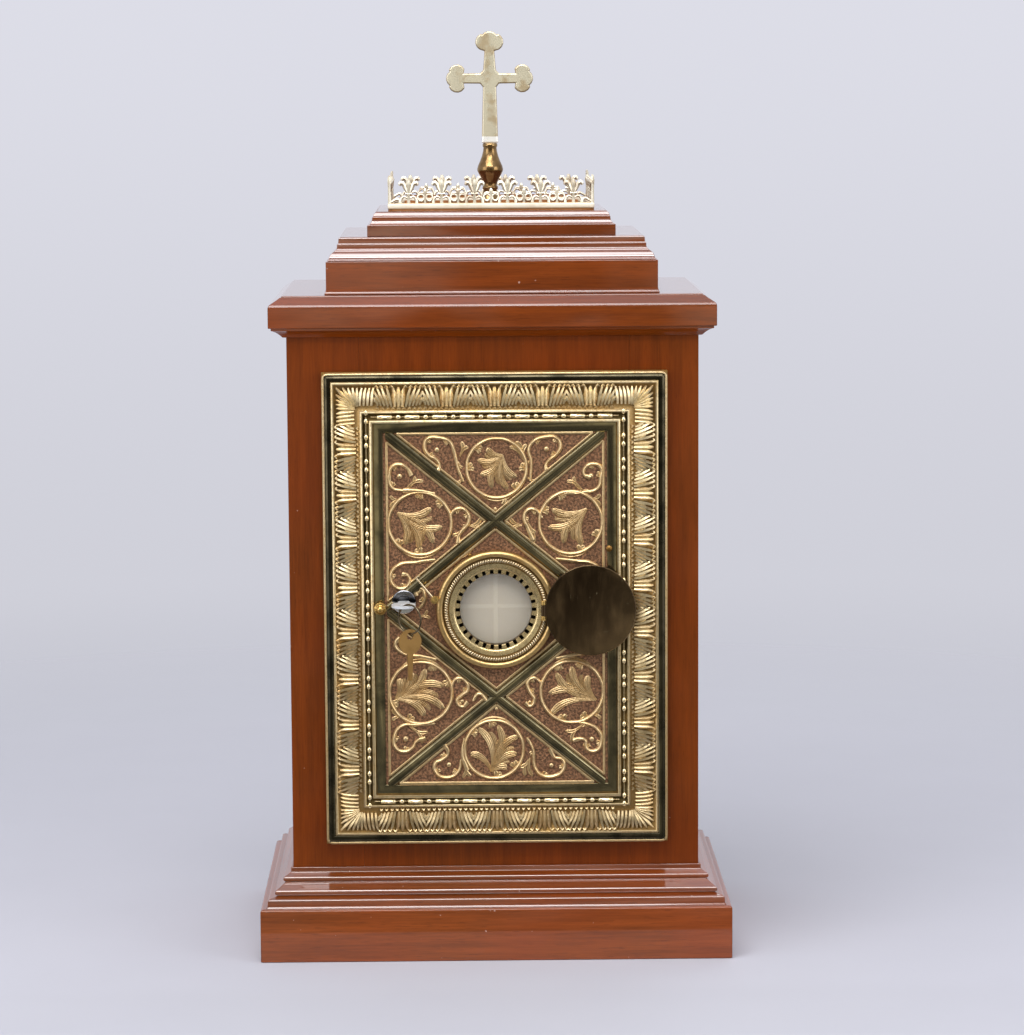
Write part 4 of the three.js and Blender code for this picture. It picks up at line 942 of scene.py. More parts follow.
def along_sides(pitch, inset, corner):
    """Places along the four sides of the door, as matrices whose x runs along the side and
    whose z points outwards. corner is kept free at each end."""
    places = []
    halves = (DOOR_HALF_W, DOOR_HALF_H)
    for turn in (0, 90, 180, 270):
        half_run, reach = halves if turn % 180 == 0 else halves[::-1]
        run = 2 * (half_run - corner)
        count = round(run / pitch)
        for i in range(count):
            x = (i + 0.5 - count / 2) * run / count
            places.append(Matrix.Rotation(math.radians(turn), 4, "Y")
                          @ Matrix.Translation((x * MM, 0, (reach - inset) * MM)))
    return places


def corner_ribs():
    """The leaves of one corner, outwards in +x and +z from the band's inner corner: a fan over
    the mitre, and upright ribs on both sides of it."""
    strokes = []
    for spread in (-40, -30, -20, -10, 0, 10, 20, 30, 40):
        lean = math.radians(45 + spread)
        reach = 18.6 / math.cos(math.radians(45 - abs(spread))) - 0.6
        points = []
        for part in (0.16, 0.45, 0.75, 1.0):
            bend = lean + math.radians(spread) * (part - 0.7) * 0.16
            points.append((math.cos(bend) * reach * part, math.sin(bend) * reach * part,
                           band_rise(part * 19)))
        strokes.append((points, [0.8, 1.5, 1.6, 0.7], False))
    for back in (1.6, 4.8, 8.0, 11.2):
        for turned_over in (False, True):
            points = [(-back, 3.4), (-back - 0.4, 9), (-back - 1.0, 14), (-back - 1.8, 18)]
            if turned_over:
                points = [(z, x) for x, z in points]
            strokes.append(([(x, z, band_rise(max(x, z))) for x, z in points],
                            [1.1, 1.5, 1.5, 0.8], False))
    return strokes


def make_leaf_band():
    """The acanthus leaves along the frame's four sides and in its corners."""
    pitch = bpy.context.scene.tabernacle_ornament.leaf_pitch / MM
    leaf = lines("leaf", leaf_ribs(), 0, 2)
    leaf.data.transform(Matrix.Diagonal((1, 1, 1.06, 1)))
    band = repeated("leaf_band", leaf, along_sides(pitch, LEAF_INSET, LEAF_CORNER))
    spot_x, spot_z = DOOR_HALF_W - CORNER_INSET, DOOR_HALF_H - CORNER_INSET
    places = [Matrix.Translation((x * spot_x * MM, 0, z * spot_z * MM))
              @ Matrix.Diagonal((x, 1, z, 1)) for x, z in ((1, 1), (1, -1), (-1, -1), (-1, 1))]
    corners = repeated("corner_leaves", lines("corner_leaf", corner_ribs(), 0, 2), places)
    band = outward(joined("leaf_band", [band, corners]))
    smooth(on_door(band), 60)
    dressed(band, "door", "cast_brass", "border")


def make_bead_rows():
    """Pairs of beads down the upright sides, and reels with beads between along the others."""
    settings = bpy.context.scene.tabernacle_ornament
    line_x, line_z = DOOR_HALF_W - BEAD_INSET, DOOR_HALF_H - BEAD_INSET
    strokes, places = [], []
    bead = ball("bead", 1.85, 10, 6)
    count = round(2 * line_z / (settings.bead_pitch / MM))
    for side in (-1, 1):
        x = side * line_x
        strokes.append(([(x, -line_z, 4.3), (x, line_z, 4.3)], [0.9, 0.9], False))
        for i in range(count + 1):
            z = -line_z + 2 * line_z * i / count
            for half in (-3.5, 3.5):
                places.append(Matrix.Translation((x * MM, -BEAD_RISE * MM, (z + half) * MM))
                              @ Matrix.Diagonal((1, 1, 1.35, 1)))
    run = line_x - 4
    count = round(2 * run / (settings.reel_pitch / MM))
    pitch = 2 * run / count
    for side in (-1, 1):
        z = side * line_z
        strokes.append(([(-run, z, 4.2), (run, z, 4.2)], [0.9, 0.9], False))
        for i in range(count):
            x = -run + pitch * (i + 0.5)
            strokes.append(([(x + off, z, BEAD_RISE) for off in (-6.3, -5.7, 5.7, 6.3)],
                            [1.3, 1.9, 1.9, 1.3], False))
            if i:
                places.append(Matrix.Translation(((x - pitch / 2) * MM, -BEAD_RISE * MM, z * MM))
                              @ Matrix.Diagonal((1.35, 1, 1, 1)))
    piece = joined("bead_rows", [repeated("beads", bead, places), lines("reels", strokes, 1, 2)])
    smooth(on_door(piece), 60)
    dressed(piece, "door", "cast_brass", "beads")


# Field of the door

# Half the field's width and height, the crossings' height over its middle, and half the panel's
FIELD_HALF_W, FIELD_HALF_H, CROSSING = 90.6, 147.9, 73.9
PANEL_HALF_W, PANEL_HALF_H = 101.0, 156.0

# Radius of the window's hole in the panel, and of the crossed bands before they are flattened
WINDOW_HOLE, BAND_RADIUS = 44, 4.2


def make_field_ground():
    """The stippled ground, a plate with the window's hole."""
    plate = block("field_ground", (-PANEL_HALF_W, -2, -PANEL_HALF_H),
                  (PANEL_HALF_W, 0, PANEL_HALF_H))
    bore = rod("bore", WINDOW_HOLE, 12, 64, rotation=(math.pi / 2, 0, 0))
    modified(plate, "BOOLEAN", operation="DIFFERENCE", object=bore, solver="EXACT")
    bpy.data.objects.remove(bore)
    on_door(plate)
    dressed(plate, "door", "copper_brass", "ground", replaces=("door_panel",))


def crossed_band(start, end):
    """A band with a low round back from start to end, cut off at the field's four sides."""
    run, middle = end - start, (start + end) / 2
    band = rod("band", BAND_RADIUS, run.length + 6, 24, rotation=(0, math.pi / 2, 0))
    band.data.transform(Matrix.Diagonal((1, 0.72, 1, 1)))
    band.data.transform(Matrix.Translation((middle.x * MM, -2.1 * MM, middle.y * MM))
                        @ Matrix.Rotation(-math.atan2(run.y, run.x), 4, "Y"))
    with editing(band):
        for x, z in ((FIELD_HALF_W, 0), (-FIELD_HALF_W, 0), (0, FIELD_HALF_H),
                     (0, -FIELD_HALF_H)):
            place = Vector((x, 0, z)) * MM
            bpy.ops.mesh.select_all(action="SELECT")
            bpy.ops.mesh.bisect(plane_co=place, plane_no=place.normalized(), use_fill=True,
                                clear_outer=True)
    return band


def make_field_border():
    """The polished border round the field, and the crossed bands."""
    border = ring("field_border", PANEL_HALF_W, PANEL_HALF_H, -1.8,
                  ((0, 2.2), (1.0, 2.9), (7.6, 2.9), (8.4, 2.1)))
    bands = [crossed_band(Vector((across * FIELD_HALF_W, up * FIELD_HALF_H)),
                          Vector((-across * FIELD_HALF_W, 0)))
             for up in (-1, 1) for across in (-1, 1)]
    piece = joined("crossed_bands", bands)
    smooth(on_door(piece), 40)
    dressed(piece, "door", "dark_brass", "band")
    smooth(on_door(border), 50)
    modified(border, "WEIGHTED_NORMAL", keep_sharp=True)
    dressed(border, "door", "dark_brass", "band")


def inner_outline(corners, distances):
    """A convex outline moved in from each of its edges by that edge's distance. The corners
    run anticlockwise."""
    moved = []
    count = len(corners)
    for i, (corner, distance) in enumerate(zip(corners, distances)):
        start, end = Vector(corner), Vector(corners[(i + 1) % count])
        along = (end - start).normalized()
        moved.append((start + Vector((-along.y, along.x)) * distance, along))
    points = []
    for i in range(count):
        (p, a), (q, b) = moved[i - 1], moved[i]
        cross = a.x * b.y - a.y * b.x
        gap = q - p
        points.append(p + a * ((gap.x * b.y - gap.y * b.x) / cross))
    return points


def make_panel_fillets():
    """Thin bright lines along the edges of the six panels and round the window's diamond."""
    w, h, c = FIELD_HALF_W, FIELD_HALF_H, CROSSING
    band, edge = 5.3, 1.0
    panels = [([(w, h), (-w, h), (0, c)], (edge, band, band)),
              ([(-w, h), (-w, 0), (0, c)], (edge, band, band)),
              ([(w, 0), (w, h), (0, c)], (edge, band, band)),
              ([(-w, -h), (w, -h), (0, -c)], (edge, band, band)),
              ([(-w, 0), (-w, -h), (0, -c)], (edge, band, band)),
              ([(w, -h), (w, 0), (0, -c)], (edge, band, band)),
              ([(0, c), (-w, 0), (0, -c), (w, 0)], (band,) * 4)]
    strokes = []
    for corners, distances in panels:
        points = inner_outline(corners, distances)
        for i, start in enumerate(points):
            end = points[(i + 1) % len(points)]
            wide = 1.6 if max(start.y, end.y) < -h + 3 else 1.1
            strokes.append(([(start.x, start.y, 2.3), (end.x, end.y, 2.3)], [wide, wide], False))
    piece = lines("panel_fillets", strokes, 1, 1)
    smooth(on_door(piece), 60)
    dressed(piece, "door", "cast_brass", "foliage")


# Foliage, drawn on the door: tendrils (points, radius at the middle), leaves and buds

RINGS = ((1.3, 118.2, 24.7), (-62.5, 72.3, 26.0), (62.5, 72.3, 26.0),
         (-63.0, -70.0, 26.0), (63.0, -70.0, 26.0), (-2.3, -118.3, 24.5))

TENDRILS = (
    ((-26.5, 107.1), (-31, 119.6), (-33.6, 131.3), (-37.5, 140.5), (-46.6, 143.8), (-55.6, 143.1),
     (-58.2, 136.6), (-55.6, 130), (-47.9, 124.8), (-45.9, 119.6), (-47.2, 116.7)),
    ((29.1, 107.1), (29.8, 124.8), (27.8, 132.6), (32.3, 140.5), (41.4, 143.8), (50.5, 143.1),
     (54.3, 136.6), (51.7, 130), (45.3, 124.8), (42, 119.6), (42.7, 116.7)),
    ((-76.3, 99.9), (-85.4, 102.5), (-87.5, 111.7), (-85.4, 119.6), (-78.9, 121.9),
     (-72.4, 118.2), (-69.2, 112.4)),
    ((-50, 97), (-64, 99.5), (-76.3, 99.9)),
    ((-36.9, 79), (-33.6, 83.6), (-28.5, 84.9), (-22.6, 80.3), (-22, 73.7), (-26.5, 67.2),
     (-30.4, 62), (-31, 56.1)),
    ((-64, 1), (-60, 6), (-59, 12), (-62, 18), (-67, 17), (-66, 12)),
    ((-50, 42), (-66, 40), (-80, 38), (-87, 30), (-85, 21), (-78, 18), (-72, 22), (-73, 29),
     (-78, 30)),
    ((56.9, 96.6), (73.7, 97.3), (85.4, 101.2), (87.5, 109.1), (87.5, 118.2), (80.8, 121.1),
     (75, 118.2), (73.7, 112.4), (78.9, 109.7)),
    ((38.8, 76.4), (33.6, 82.9), (27.8, 83.6), (23.9, 77.7), (26.5, 68.5), (31, 58)),
    ((50, 42), (66, 40), (80, 38), (87, 31), (84, 25)),
    ((25.2, -108.6), (30.3, -118.9), (31.6, -133.2), (36.8, -140.3), (48.3, -141.4), (56, -135.1),
     (54.7, -127.4), (48.3, -125.4), (44.2, -118.3)),
    ((-29.9, -126.7), (-32.4, -137.1), (-41.4, -142), (-50.4, -138.4), (-51.7, -129.9),
     (-45.9, -126.7), (-40.8, -121.5), (-44, -113.7)),
    ((-26.7, -108.6), (-28.6, -122.8), (-24.8, -135.8)),
    ((-51.7, -96.2), (-64.5, -96.9), (-79.9, -98.2), (-85.6, -107.3), (-84.4, -116.3),
     (-77.3, -119.6), (-70.3, -116.3), (-67.1, -111.1), (-59.4, -108.6)),
    ((54.7, -95.6), (73.9, -96.9), (85.4, -103.4), (87.5, -112.4), (82.9, -120.2),
     (75.2, -118.3), (73.9, -111.1), (63.7, -111.1)),
    ((-38, -66), (-33, -58), (-26, -60), (-24, -68), (-28.6, -72), (-33, -77), (-28.6, -82),
     (-24, -78)),
    ((37, -62), (31, -58), (26, -62), (28, -70), (31.6, -76), (27.8, -82), (24, -79)),
    ((-19.6, -77.4), (-14.5, -71), (-8.1, -76.8)),
    ((-50, -42), (-64, -39), (-78, -36), (-84, -29), (-80, -23)),
    ((50, -42), (64, -39), (78, -36), (84, -29), (80, -23)),
)

# A leaf is its root, its tips and the width of its lobes
LEAVES = (
    ((6.2, 128.5), ((-6.5, 133.9), (-13.6, 124.1), (-11, 112.3), (-3.6, 102.8), (9.1, 101.2),
                    (16.5, 110.4)), 2.6),
    ((-80.9, 81.3), ((-53.7, 83.6), (-45.5, 67.9), (-51.3, 58), (-62.4, 52.4), (-73.8, 55.7)), 3.0),
    ((75.7, 83.3), ((47.9, 82), (45.5, 67.2), (55.8, 56.7), (70.4, 54)), 3.0),
    ((-4.3, -137.1), ((-20.9, -121.5), (-13.2, -100.8), (2.8, -99.4), (16.2, -107.1),
                      (15.4, -121.5), (8, -133.2)), 2.8),
    ((-84, -75), ((-80.6, -58.5), (-70.2, -53.2), (-58.7, -51.7), (-45.3, -62.8),
                  (-44.6, -81.3), (-60, -88)), 3.0),
    ((82.9, -77.4), ((45.3, -69.7), (50, -56.3), (62.2, -50.7), (75.9, -57.5), (45.7, -87.2)), 3.0),
    ((-29, 128), ((-27.2, 139.9), (-22.5, 136)), 1.8),
    ((24, 124), ((18.1, 139.9), (25.6, 137.5), (13, 136)), 1.8),
    ((-26, 110), ((-31.8, 101.5), (-33, 106)), 1.5),
    ((27, 110), ((33.8, 102.5), (34, 107)), 1.5),
    ((8, 94), ((12.4, 87.5), (6, 88)), 1.5),
    ((-22, 70), ((-8.3, 71.8), (-12, 66), (-12, 75.5)), 1.8),
    ((22, 70), ((6.8, 71.8), (12, 66), (12, 76)), 1.8),
    ((27, 72), ((33, 64), (31, 54)), 1.8),
    ((-27, 68), ((-35, 62), (-30, 52)), 1.6),
    ((28, -126), ((23.2, -140.4), (29.2, -141), (19, -134)), 1.8),
    ((-27, -128), ((-22.4, -141), (-28, -142)), 1.6),
    ((-74, 101), ((-60, 108), (-66, 111)), 1.6),
    ((72, 99), ((60, 107), (65, 110)), 1.6),
    ((-73, -98), ((-58, -104), (-62, -112)), 1.6),
    ((72, -98), ((58, -104), (62, -112)), 1.6),
    ((-80, 92), ((-87, 86), (-87, 95)), 1.6),
    ((80, 92), ((87, 86), (87, 95)), 1.6),
    ((-80, -90), ((-87, -84), (-87, -93)), 1.6),
    ((80, -90), ((87, -84), (87, -93)), 1.6),
    ((-16, 55), ((-28, 48.5), (-26, 44.5), (-33, 43.5)), 1.8),
    ((-63, -6), ((-57, -1), (-55, -7)), 1.5),
)

# A bud is its middle and its radius
BUDS = ((-47.9, 133.6, 2.2), (42.7, 133.6, 2.4), (-79.0, 111.7, 2.4), (79.5, 111.0, 2.2),
        (-40.1, -131.2, 2.2), (45.5, -132.5, 2.0), (-76, -109.0, 2.4), (79.5, -110.5, 2.2),
        (-28.6, -77.4, 1.6), (27.8, -78.7, 1.6), (0, 84, 1.6), (0, -84, 1.6))

# How flat a petal is, and the rise of its middle line
FLAT, PETAL_RISE = 0.32, 2.0

# Leaves with wider lobes than this are the large ones, with more petals and ribs
LARGE_LEAF = 2.2

# A petal from its root to its round tip: part of the run, share of the bend, share of the width
PETAL = ((0.0, 0.0, 0.3), (0.3, 0.75, 0.55), (0.6, 0.95, 0.85), (0.82, 0.55, 1.05),
         (0.96, -0.05, 0.85), (1.03, -0.35, 0.3))


def leaf_strokes(root, tips, width):
    """The petals of one leaf, broad and flat, and the fine ribs on them."""
    root = Vector(root)
    tips = [Vector(tip) for tip in tips]
    middle = sum(tips, Vector((0, 0))) / len(tips) - root
    petals, ribs = [], []
    spread = [(tip, width, PETAL_RISE) for tip in tips]
    if width > LARGE_LEAF:
        # shorter petals behind the others
        spread += [(root + ((one + other) / 2 - root) * 0.94, width * 0.72, PETAL_RISE - 0.5)
                   for one, other in zip(tips, tips[1:]) if (one - other).length < 22]
    for tip, wide, rise in spread:
        run = tip - root
        side = Vector((-run.y, run.x)).normalized()
        bend = 0.13 * run.length * (1 if run.x * middle.y - run.y * middle.x > 0 else -1)
        line = [(root + run * part + side * bend * off, wide * share)
                for part, off, share in PETAL]
        petals.append(([(spot.x, spot.y, rise / FLAT) for spot, radius in line],
                       [radius for spot, radius in line], False))
        for off in ((-0.82, -0.3, 0.3, 0.82) if width > LARGE_LEAF else (-0.6, 0.6)):
            swell = FLAT * math.sqrt(1 - off * off)
            ribs.append(([(*(spot + side * off * radius), rise + swell * radius + 0.1)
                          for spot, radius in line[:5]], [0.35, 0.45, 0.5, 0.5, 0.35], False))
    return petals, ribs


def sprig(spot, way, along, size):
    """A small three-lobed leaf that grows that way from a place on a tendril, and leans along
    it."""
    return ((spot.x, spot.y), [tuple(spot + (way * a + along * b) * size)
                               for a, b in ((0.9, 0.1), (0.75, 0.75), (0.15, 1.0))], size * 0.3)


def ring_strokes(x, z, r, radius):
    """One round tendril, and a second line beside it that carries the leaf."""
    circle = [(x + r * math.cos(a), z + r * math.sin(a), 2.0)
              for a in (i * math.pi / 6 for i in range(12))]
    facing = -1 if z > 0 else 1
    stem = []
    for i in range(6):
        angle, reach = facing * math.radians(40 + i * 20), r + 2.6 * math.sin(math.pi * i / 5)
        stem.append((x + reach * math.cos(angle), z + reach * math.sin(angle), 1.7))
    return [(circle, [radius * (1.05 if i % 3 else 0.85) for i in range(12)], True),
            (stem, [0.6, 1.0, 1.1, 1.1, 1.0, 0.6], False)]


def ring_sprigs(x, z, r, root):
    """Four small leaves inside a round tendril, turned from the large leaf's root."""
    centre = Vector((x, z))
    way = (Vector(root) - centre).normalized()
    sprigs = []
    for turn in (-115, -70, 75, 120):
        out = Matrix.Rotation(math.radians(turn), 2) @ way
        along = Vector((-out.y, out.x)) * (1 if turn < 0 else -1)
        sprigs.append(sprig(centre + out * r, -out, along, 6.5))
    return sprigs


def tendril_sprigs(tendril):
    """Small leaves inside a tendril's bends, at every other point."""
    spots = [Vector(point) for point in tendril]
    sprigs = []
    for i in range(1, len(spots) - 2, 2):
        out = spots[i] - (spots[i - 1] + spots[i + 1]) / 2
        if out.length > 0.3:
            along = (spots[i + 1] - spots[i - 1]).normalized()
            sprigs.append(sprig(spots[i], -out.normalized(), along, 4.6))
    return sprigs


def make_foliage():
    """The rings, tendrils, leaves and buds, as one cast relief."""
    radius = bpy.context.scene.tabernacle_ornament.tendril / MM
    strokes, leaves = [], list(LEAVES)
    # the first leaves are the large ones, one inside each ring
    for circle, leaf in zip(RINGS, LEAVES):
        strokes += ring_strokes(*circle, radius)
        leaves += ring_sprigs(*circle, leaf[0])
    for tendril in TENDRILS:
        last = len(tendril) - 1
        radii = [radius * (0.75 + 0.35 * math.sin(math.pi * i / last)) for i in range(last + 1)]
        radii[-1] = radius * 1.35
        strokes.append(([(x, z, 2.0) for x, z in tendril], radii, False))
        leaves += tendril_sprigs(tendril)
    petals, ribs = [], []
    for leaf in leaves:
        more_petals, more_ribs = leaf_strokes(*leaf)
        petals += more_petals
        ribs += more_ribs
    broad = lines("petals", petals, 2, 4)
    broad.data.transform(Matrix.Diagonal((1, FLAT, 1, 1)))
    fine = lines("ribs", ribs, 0, 3)
    tendrils = lines("tendrils", strokes, 1, 5)
    places = [Matrix.Translation((x * MM, -1.9 * MM, z * MM)) @ Matrix.Diagonal((r, r * 0.8, r, 1))
              for x, z, r in BUDS]
    buds = repeated("buds", ball("bud", 1, 14, 8), places)
    piece = joined("foliage", [tendrils, broad, fine, buds])
    smooth(on_door(piece), 60)
    dressed(piece, "door", "cast_brass", "foliage")


# Window, cover, catch, lock, keys and fixings

# Notches in the ring round the glass, and the radius of the line of pearls
NOTCHES, PEARL_LINE = 30, 41.5


def window_ring(name, outline, sides):
    """A ring turned about the window's middle, from an outline of (radius, rise)."""
    return turned(name, (DOOR_X, DOOR_Z), [(r, PLATE_Y - rise) for r, rise in outline], sides)


def make_window():
    """The collar with its pearls, the notched ring, and the glass and disc in it."""
    collar = window_ring("collar", (
        (37.2, 0.1), (37.2, 5.0), (39.2, 5.2), (39.5, 6.9), (43.4, 6.9), (43.9, 5.4), (44.2, 7.4),
        (44.9, 8.6), (46.0, 9.3), (47.2, 9.3), (48.4, 8.7), (49.2, 7.6), (49.5, 6.4), (49.5, 0.1),
        (37.2, 0.1)), 96)
    smooth(collar, 60)
    dressed(collar, "door", "cast_brass", "collar", replaces=("window_collar",))
    bezel = window_ring("notched_ring", (
        (29.9, -5.0), (29.9, 3.6), (30.6, 4.4), (33.9, 4.7), (34.3, 5.2), (35.2, 5.7), (38.8, 6.0),
        (39.0, 5.2), (36.6, 5.1), (36.6, -5.0), (29.9, -5.0)), 120)
    notch = block("notch", (-1.45, -8, 28.5), (1.45, -1.8, 33.5))
    notches = on_door(repeated("notches", notch, [
        Matrix.Rotation(2 * math.pi * (i + 0.5) / NOTCHES, 4, "Y") for i in range(NOTCHES)]))
    modified(bezel, "BOOLEAN", operation="DIFFERENCE", object=notches, solver="EXACT")
    bpy.data.objects.remove(notches)
    smooth(bezel, 40)
    dressed(bezel, "door", "cast_brass", "bezel", replaces=("window_bezel",))
    # a dark ring behind the notches: painted shadow in them
    notch_shadow = window_ring("notch_backing", ((30.0, 1.5), (30.0, 2.1), (34.0, 2.1), (34.0, 1.5),
                                            (30.0, 1.5)), 64)
    dressed(notch_shadow, "door", "cast_brass", "gap")
    refinished("window_glass", "glass")
    refinished("host_disc", "disc")
    count = bpy.context.scene.tabernacle_ornament.pearls
    places = [Matrix.Rotation(2 * math.pi * i / count, 4, "Y")
              @ Matrix.Translation((0, -7.4 * MM, PEARL_LINE * MM))
              @ Matrix.Rotation(math.radians(25), 4, "Y") @ Matrix.Diagonal((0.9, 1.25, 1.7, 1))
              for i in range(count)]
    pearls = repeated("window_pearls", ball("pearl", 1.05, 8, 6), places)
    smooth(on_door(pearls), 60)
    dressed(pearls, "door", "cast_brass", "pearl")


def make_cover():
    """The round cover that swings over the window, and its bracket."""
    softened("viewing_cover", "cover", "dark_brass", 0.45, 30)
    softened("cover_bracket", "small", "cast_brass", 0.2)


def make_catch():
    """The catch's post and its wire hook."""
    kept_shape("catch_post", "small", "cast_brass")
    kept_shape("catch_hook", "pearl", "cast_brass")


# The pull knob's axis, and the height under which the spare key is its blade
KNOB_AXIS = (measured("X", "pull_knob")[1], measured("Z", "pull_knob")[1])
BLADE_TOP = 263.5


def make_lock():
    """The cam lock with the key in it, and the wire ring with the spare key."""
    for node, finish, slot, edge in (("lock_cylinder", "lock_face", "chrome", 0.3),
                                     ("lock_plug", "lock_face", "chrome", 0.2),
                                     ("lock_cam", "steel", "steel", 0.2),
                                     ("lock_nut", "steel", "steel", 0.2),
                                     ("door_key", "nickel", "chrome", 0.2)):
        softened(node, finish, slot, edge)
    kept_shape("key_ring", "wire", "steel")
    spare = softened("spare_key", "key", "cast_brass", 0.15)
    # a narrower blade than the CAD key's
    with editing(spare) as mesh:
        bpy.ops.mesh.select_mode(type="VERT")
        blade = [vertex for vertex in mesh.verts if vertex.co.z < BLADE_TOP * MM]
        for vertex in blade:
            vertex.select_set(True)
        bmesh.update_edit_mesh(spare.data)
        middle = sum((vertex.co for vertex in blade), Vector()) / len(blade)
        bpy.ops.transform.resize(value=(0.7, 1, 1), center_override=middle)


def make_knob():
    """The small ringed knob that pulls the door open."""
    knob = turned("ringed_knob", KNOB_AXIS, (
        (0, -113.5), (2.2, -113.5), (2.2, -125.5), (3.4, -127.0), (5.0, -127.6), (5.3, -128.4),
        (5.3, -130.6), (4.8, -131.6), (3.9, -131.9), (3.5, -131.4), (3.1, -131.6), (3.0, -133.4),
        (2.4, -134.8), (1.2, -135.6), (0, -135.8)), 40)
    smooth(knob, 45)
    dressed(knob, "door", "cast_brass", "small", replaces=("pull_knob",))


def make_hinges():
    """The two butt hinges, leaf by leaf."""
    for end in ("upper", "lower"):
        for leaf in ("cabinet", "door"):
            refinished(f"{end}_hinge_{leaf}_leaf", "small")


def make_inside():
    """The door's core plate, and the case that holds the host."""
    refinished("door_core", "plate")
    refinished("host_case", "small")
    refinished("host_case_lid", "small")


# The rivets and the screw in the panel: x, z and the head's radius
RIVETS = ((-20, 340.6, 1.9), (39.8, 337.6, 1.9), (95.6, 345.5, 2.6))


def make_fixings():
    """The heads of the rivets and the screw."""
    heads = [turned("rivet", (x, z), ((0, PLATE_Y - 4.2), (radius * 0.6, PLATE_Y - 3.9),
                                      (radius, PLATE_Y - 3.0), (radius, PLATE_Y - 1.5),
                                      (0, PLATE_Y - 1.5)), 20)
             for x, z, radius in RIVETS]
    rivets = joined("panel_rivets", heads)
    smooth(rivets, 40)
    dressed(rivets, "door", "cast_brass", "small")


# Stage, in metres

# The camera's place, and its turn in degrees about the upright, the level and its own axis
CAMERA_PLACE, CAMERA_TURN = (-0.0293, -3.041, 0.743), (-0.87, 82.76, -0.34)

# Dark patchy cards in front and a bright one overhead, which only polished surfaces see: place,
# lean in degrees, size, colours of the patches, how many patches to a metre, and strength
CARDS = {
    "dark_card": ((0.05, -1.5, 0.62), 90, (1.9, 1.36, 1), (0.05, 0.047, 0.04),
                  (0.78, 0.76, 0.70), 5.5, 1.0),
    "floor_card": ((0.05, -0.86, 0.002), 0, (1.9, 1.26, 1), (0.05, 0.047, 0.04),
                   (0.50, 0.49, 0.45), 6.5, 1.0),
    "bright_card": ((-0.2, -0.95, 2.3), 30, (2.4, 0.8, 1), (0.9, 0.9, 0.92), (1, 1, 1), 2.0, 6.5),
}

# Share of the key lamp's power, width, and place. All of them point at the object's middle.
LAMPS = {
    "key_lamp": (1.0, 1.7, (-0.4, -1.0, 2.4)),
    "left_lamp": (0.62, 1.7, (-2.1, -1.7, 0.95)),
    "right_lamp": (0.62, 1.5, (2.1, -1.6, 1.0)),
    "rear_lamp": (0.35, 1.6, (0.6, 1.8, 2.0)),
    "strip_lamp": (0.6, 2.4, (-0.2, -2.0, 2.2)),
}
AIM, STRIP_WIDTH = Vector((0, 0, 0.35)), 0.22


def make_camera(lens):
    """The camera, where the photograph was taken from."""
    camera = bpy.data.objects.new("camera", bpy.data.cameras.new("camera"))
    bpy.context.scene.collection.objects.link(camera)
    bpy.context.scene.camera = camera
    camera.data.lens = lens
    camera.data.sensor_width = 36
    upright, level, own = (math.radians(turn) for turn in CAMERA_TURN)
    camera.matrix_world = (Matrix.Translation(CAMERA_PLACE) @ Matrix.Rotation(upright, 4, "Z")
                           @ Matrix.Rotation(level, 4, "X") @ Matrix.Rotation(own, 4, "Z"))


def make_floor(colour):
    """A round floor that keeps the object's shadow and clears away into the backdrop."""
    floor = settled(added("floor", bpy.ops.mesh.primitive_circle_add, vertices=96, radius=9,
                          fill_type="NGON", location=(0, 0, -0.0002)))
    finish = Finish("floor")
    distance = finish.node("ShaderNodeVectorMath", {"operation": "LENGTH"}, {0: finish.place},
                           "Value")
    grain = finish.noise(finish.place, 9, 2)
    finish.surface(Base_Color=finish.mix(grain, toned(colour, 0.985), tuple(colour)),
                   Roughness=0.9, Specular_IOR_Level=0.2)
    near = Value(finish, finish.shader.outputs[0])
    clear = finish.node("ShaderNodeBsdfTransparent", {}, {})
    finish.fill(finish.tree.nodes["Material Output"],
                {"Surface": finish.blend(finish.ramp(distance, 0.5, 2.2), near, clear)})
    floor.data.materials.append(finish.material)


def make_cards():
    """The cards that give polished surfaces something to mirror."""
    for name, (place, lean, size, low, high, scale, strength) in CARDS.items():
        card = added(name, bpy.ops.mesh.primitive_plane_add, size=1, location=place,
                     rotation=(math.radians(lean), 0, 0))
        card.scale = size
        settled(card)
        finish = Finish(name)
        patches = finish.ramp(finish.noise(finish.place, scale, 2), 0.4, 0.62)
        finish.surface(Base_Color=linear((0.02, 0.02, 0.02)), Roughness=0.9,
                       Emission_Strength=strength, Emission_Color=finish.mix(patches, low, high))
        card.data.materials.append(finish.material)
        card.visible_camera = card.visible_diffuse = card.visible_shadow = False
        card.visible_transmission = False


def make_world(backdrop):
    """The pale backdrop that the camera and polished surfaces see, and an even light."""
    world = bpy.data.worlds.new("studio")
    bpy.context.scene.world = world
    sky = Shading(world)
    way = sky.node("ShaderNodeTexCoord", {}, {}, "Generated")
    height = sky.node("ShaderNodeSeparateXYZ", {}, {0: way}, "Z")
    tint = sky.mix(sky.ramp(height, -0.16, 0.04), toned(backdrop, 0.95), toned(backdrop, 1.015))
    seen = sky.tree.nodes["Background"]
    sky.fill(seen, {"Color": tint, "Strength": 1.0})
    lit = sky.node("ShaderNodeBackground", {},
                   {"Color": linear((0.97, 0.98, 1.0)), "Strength": 0.55})
    camera, glossy, through = (sky.node("ShaderNodeLightPath", {}, {}, f"Is {ray} Ray")
                               for ray in ("Camera", "Glossy", "Transmission"))
    shown = sky.maths("MAXIMUM", sky.maths("MAXIMUM", camera, glossy), through)
    sky.fill(sky.tree.nodes["World Output"],
             {"Surface": sky.blend(shown, lit, Value(sky, seen.outputs[0]))})


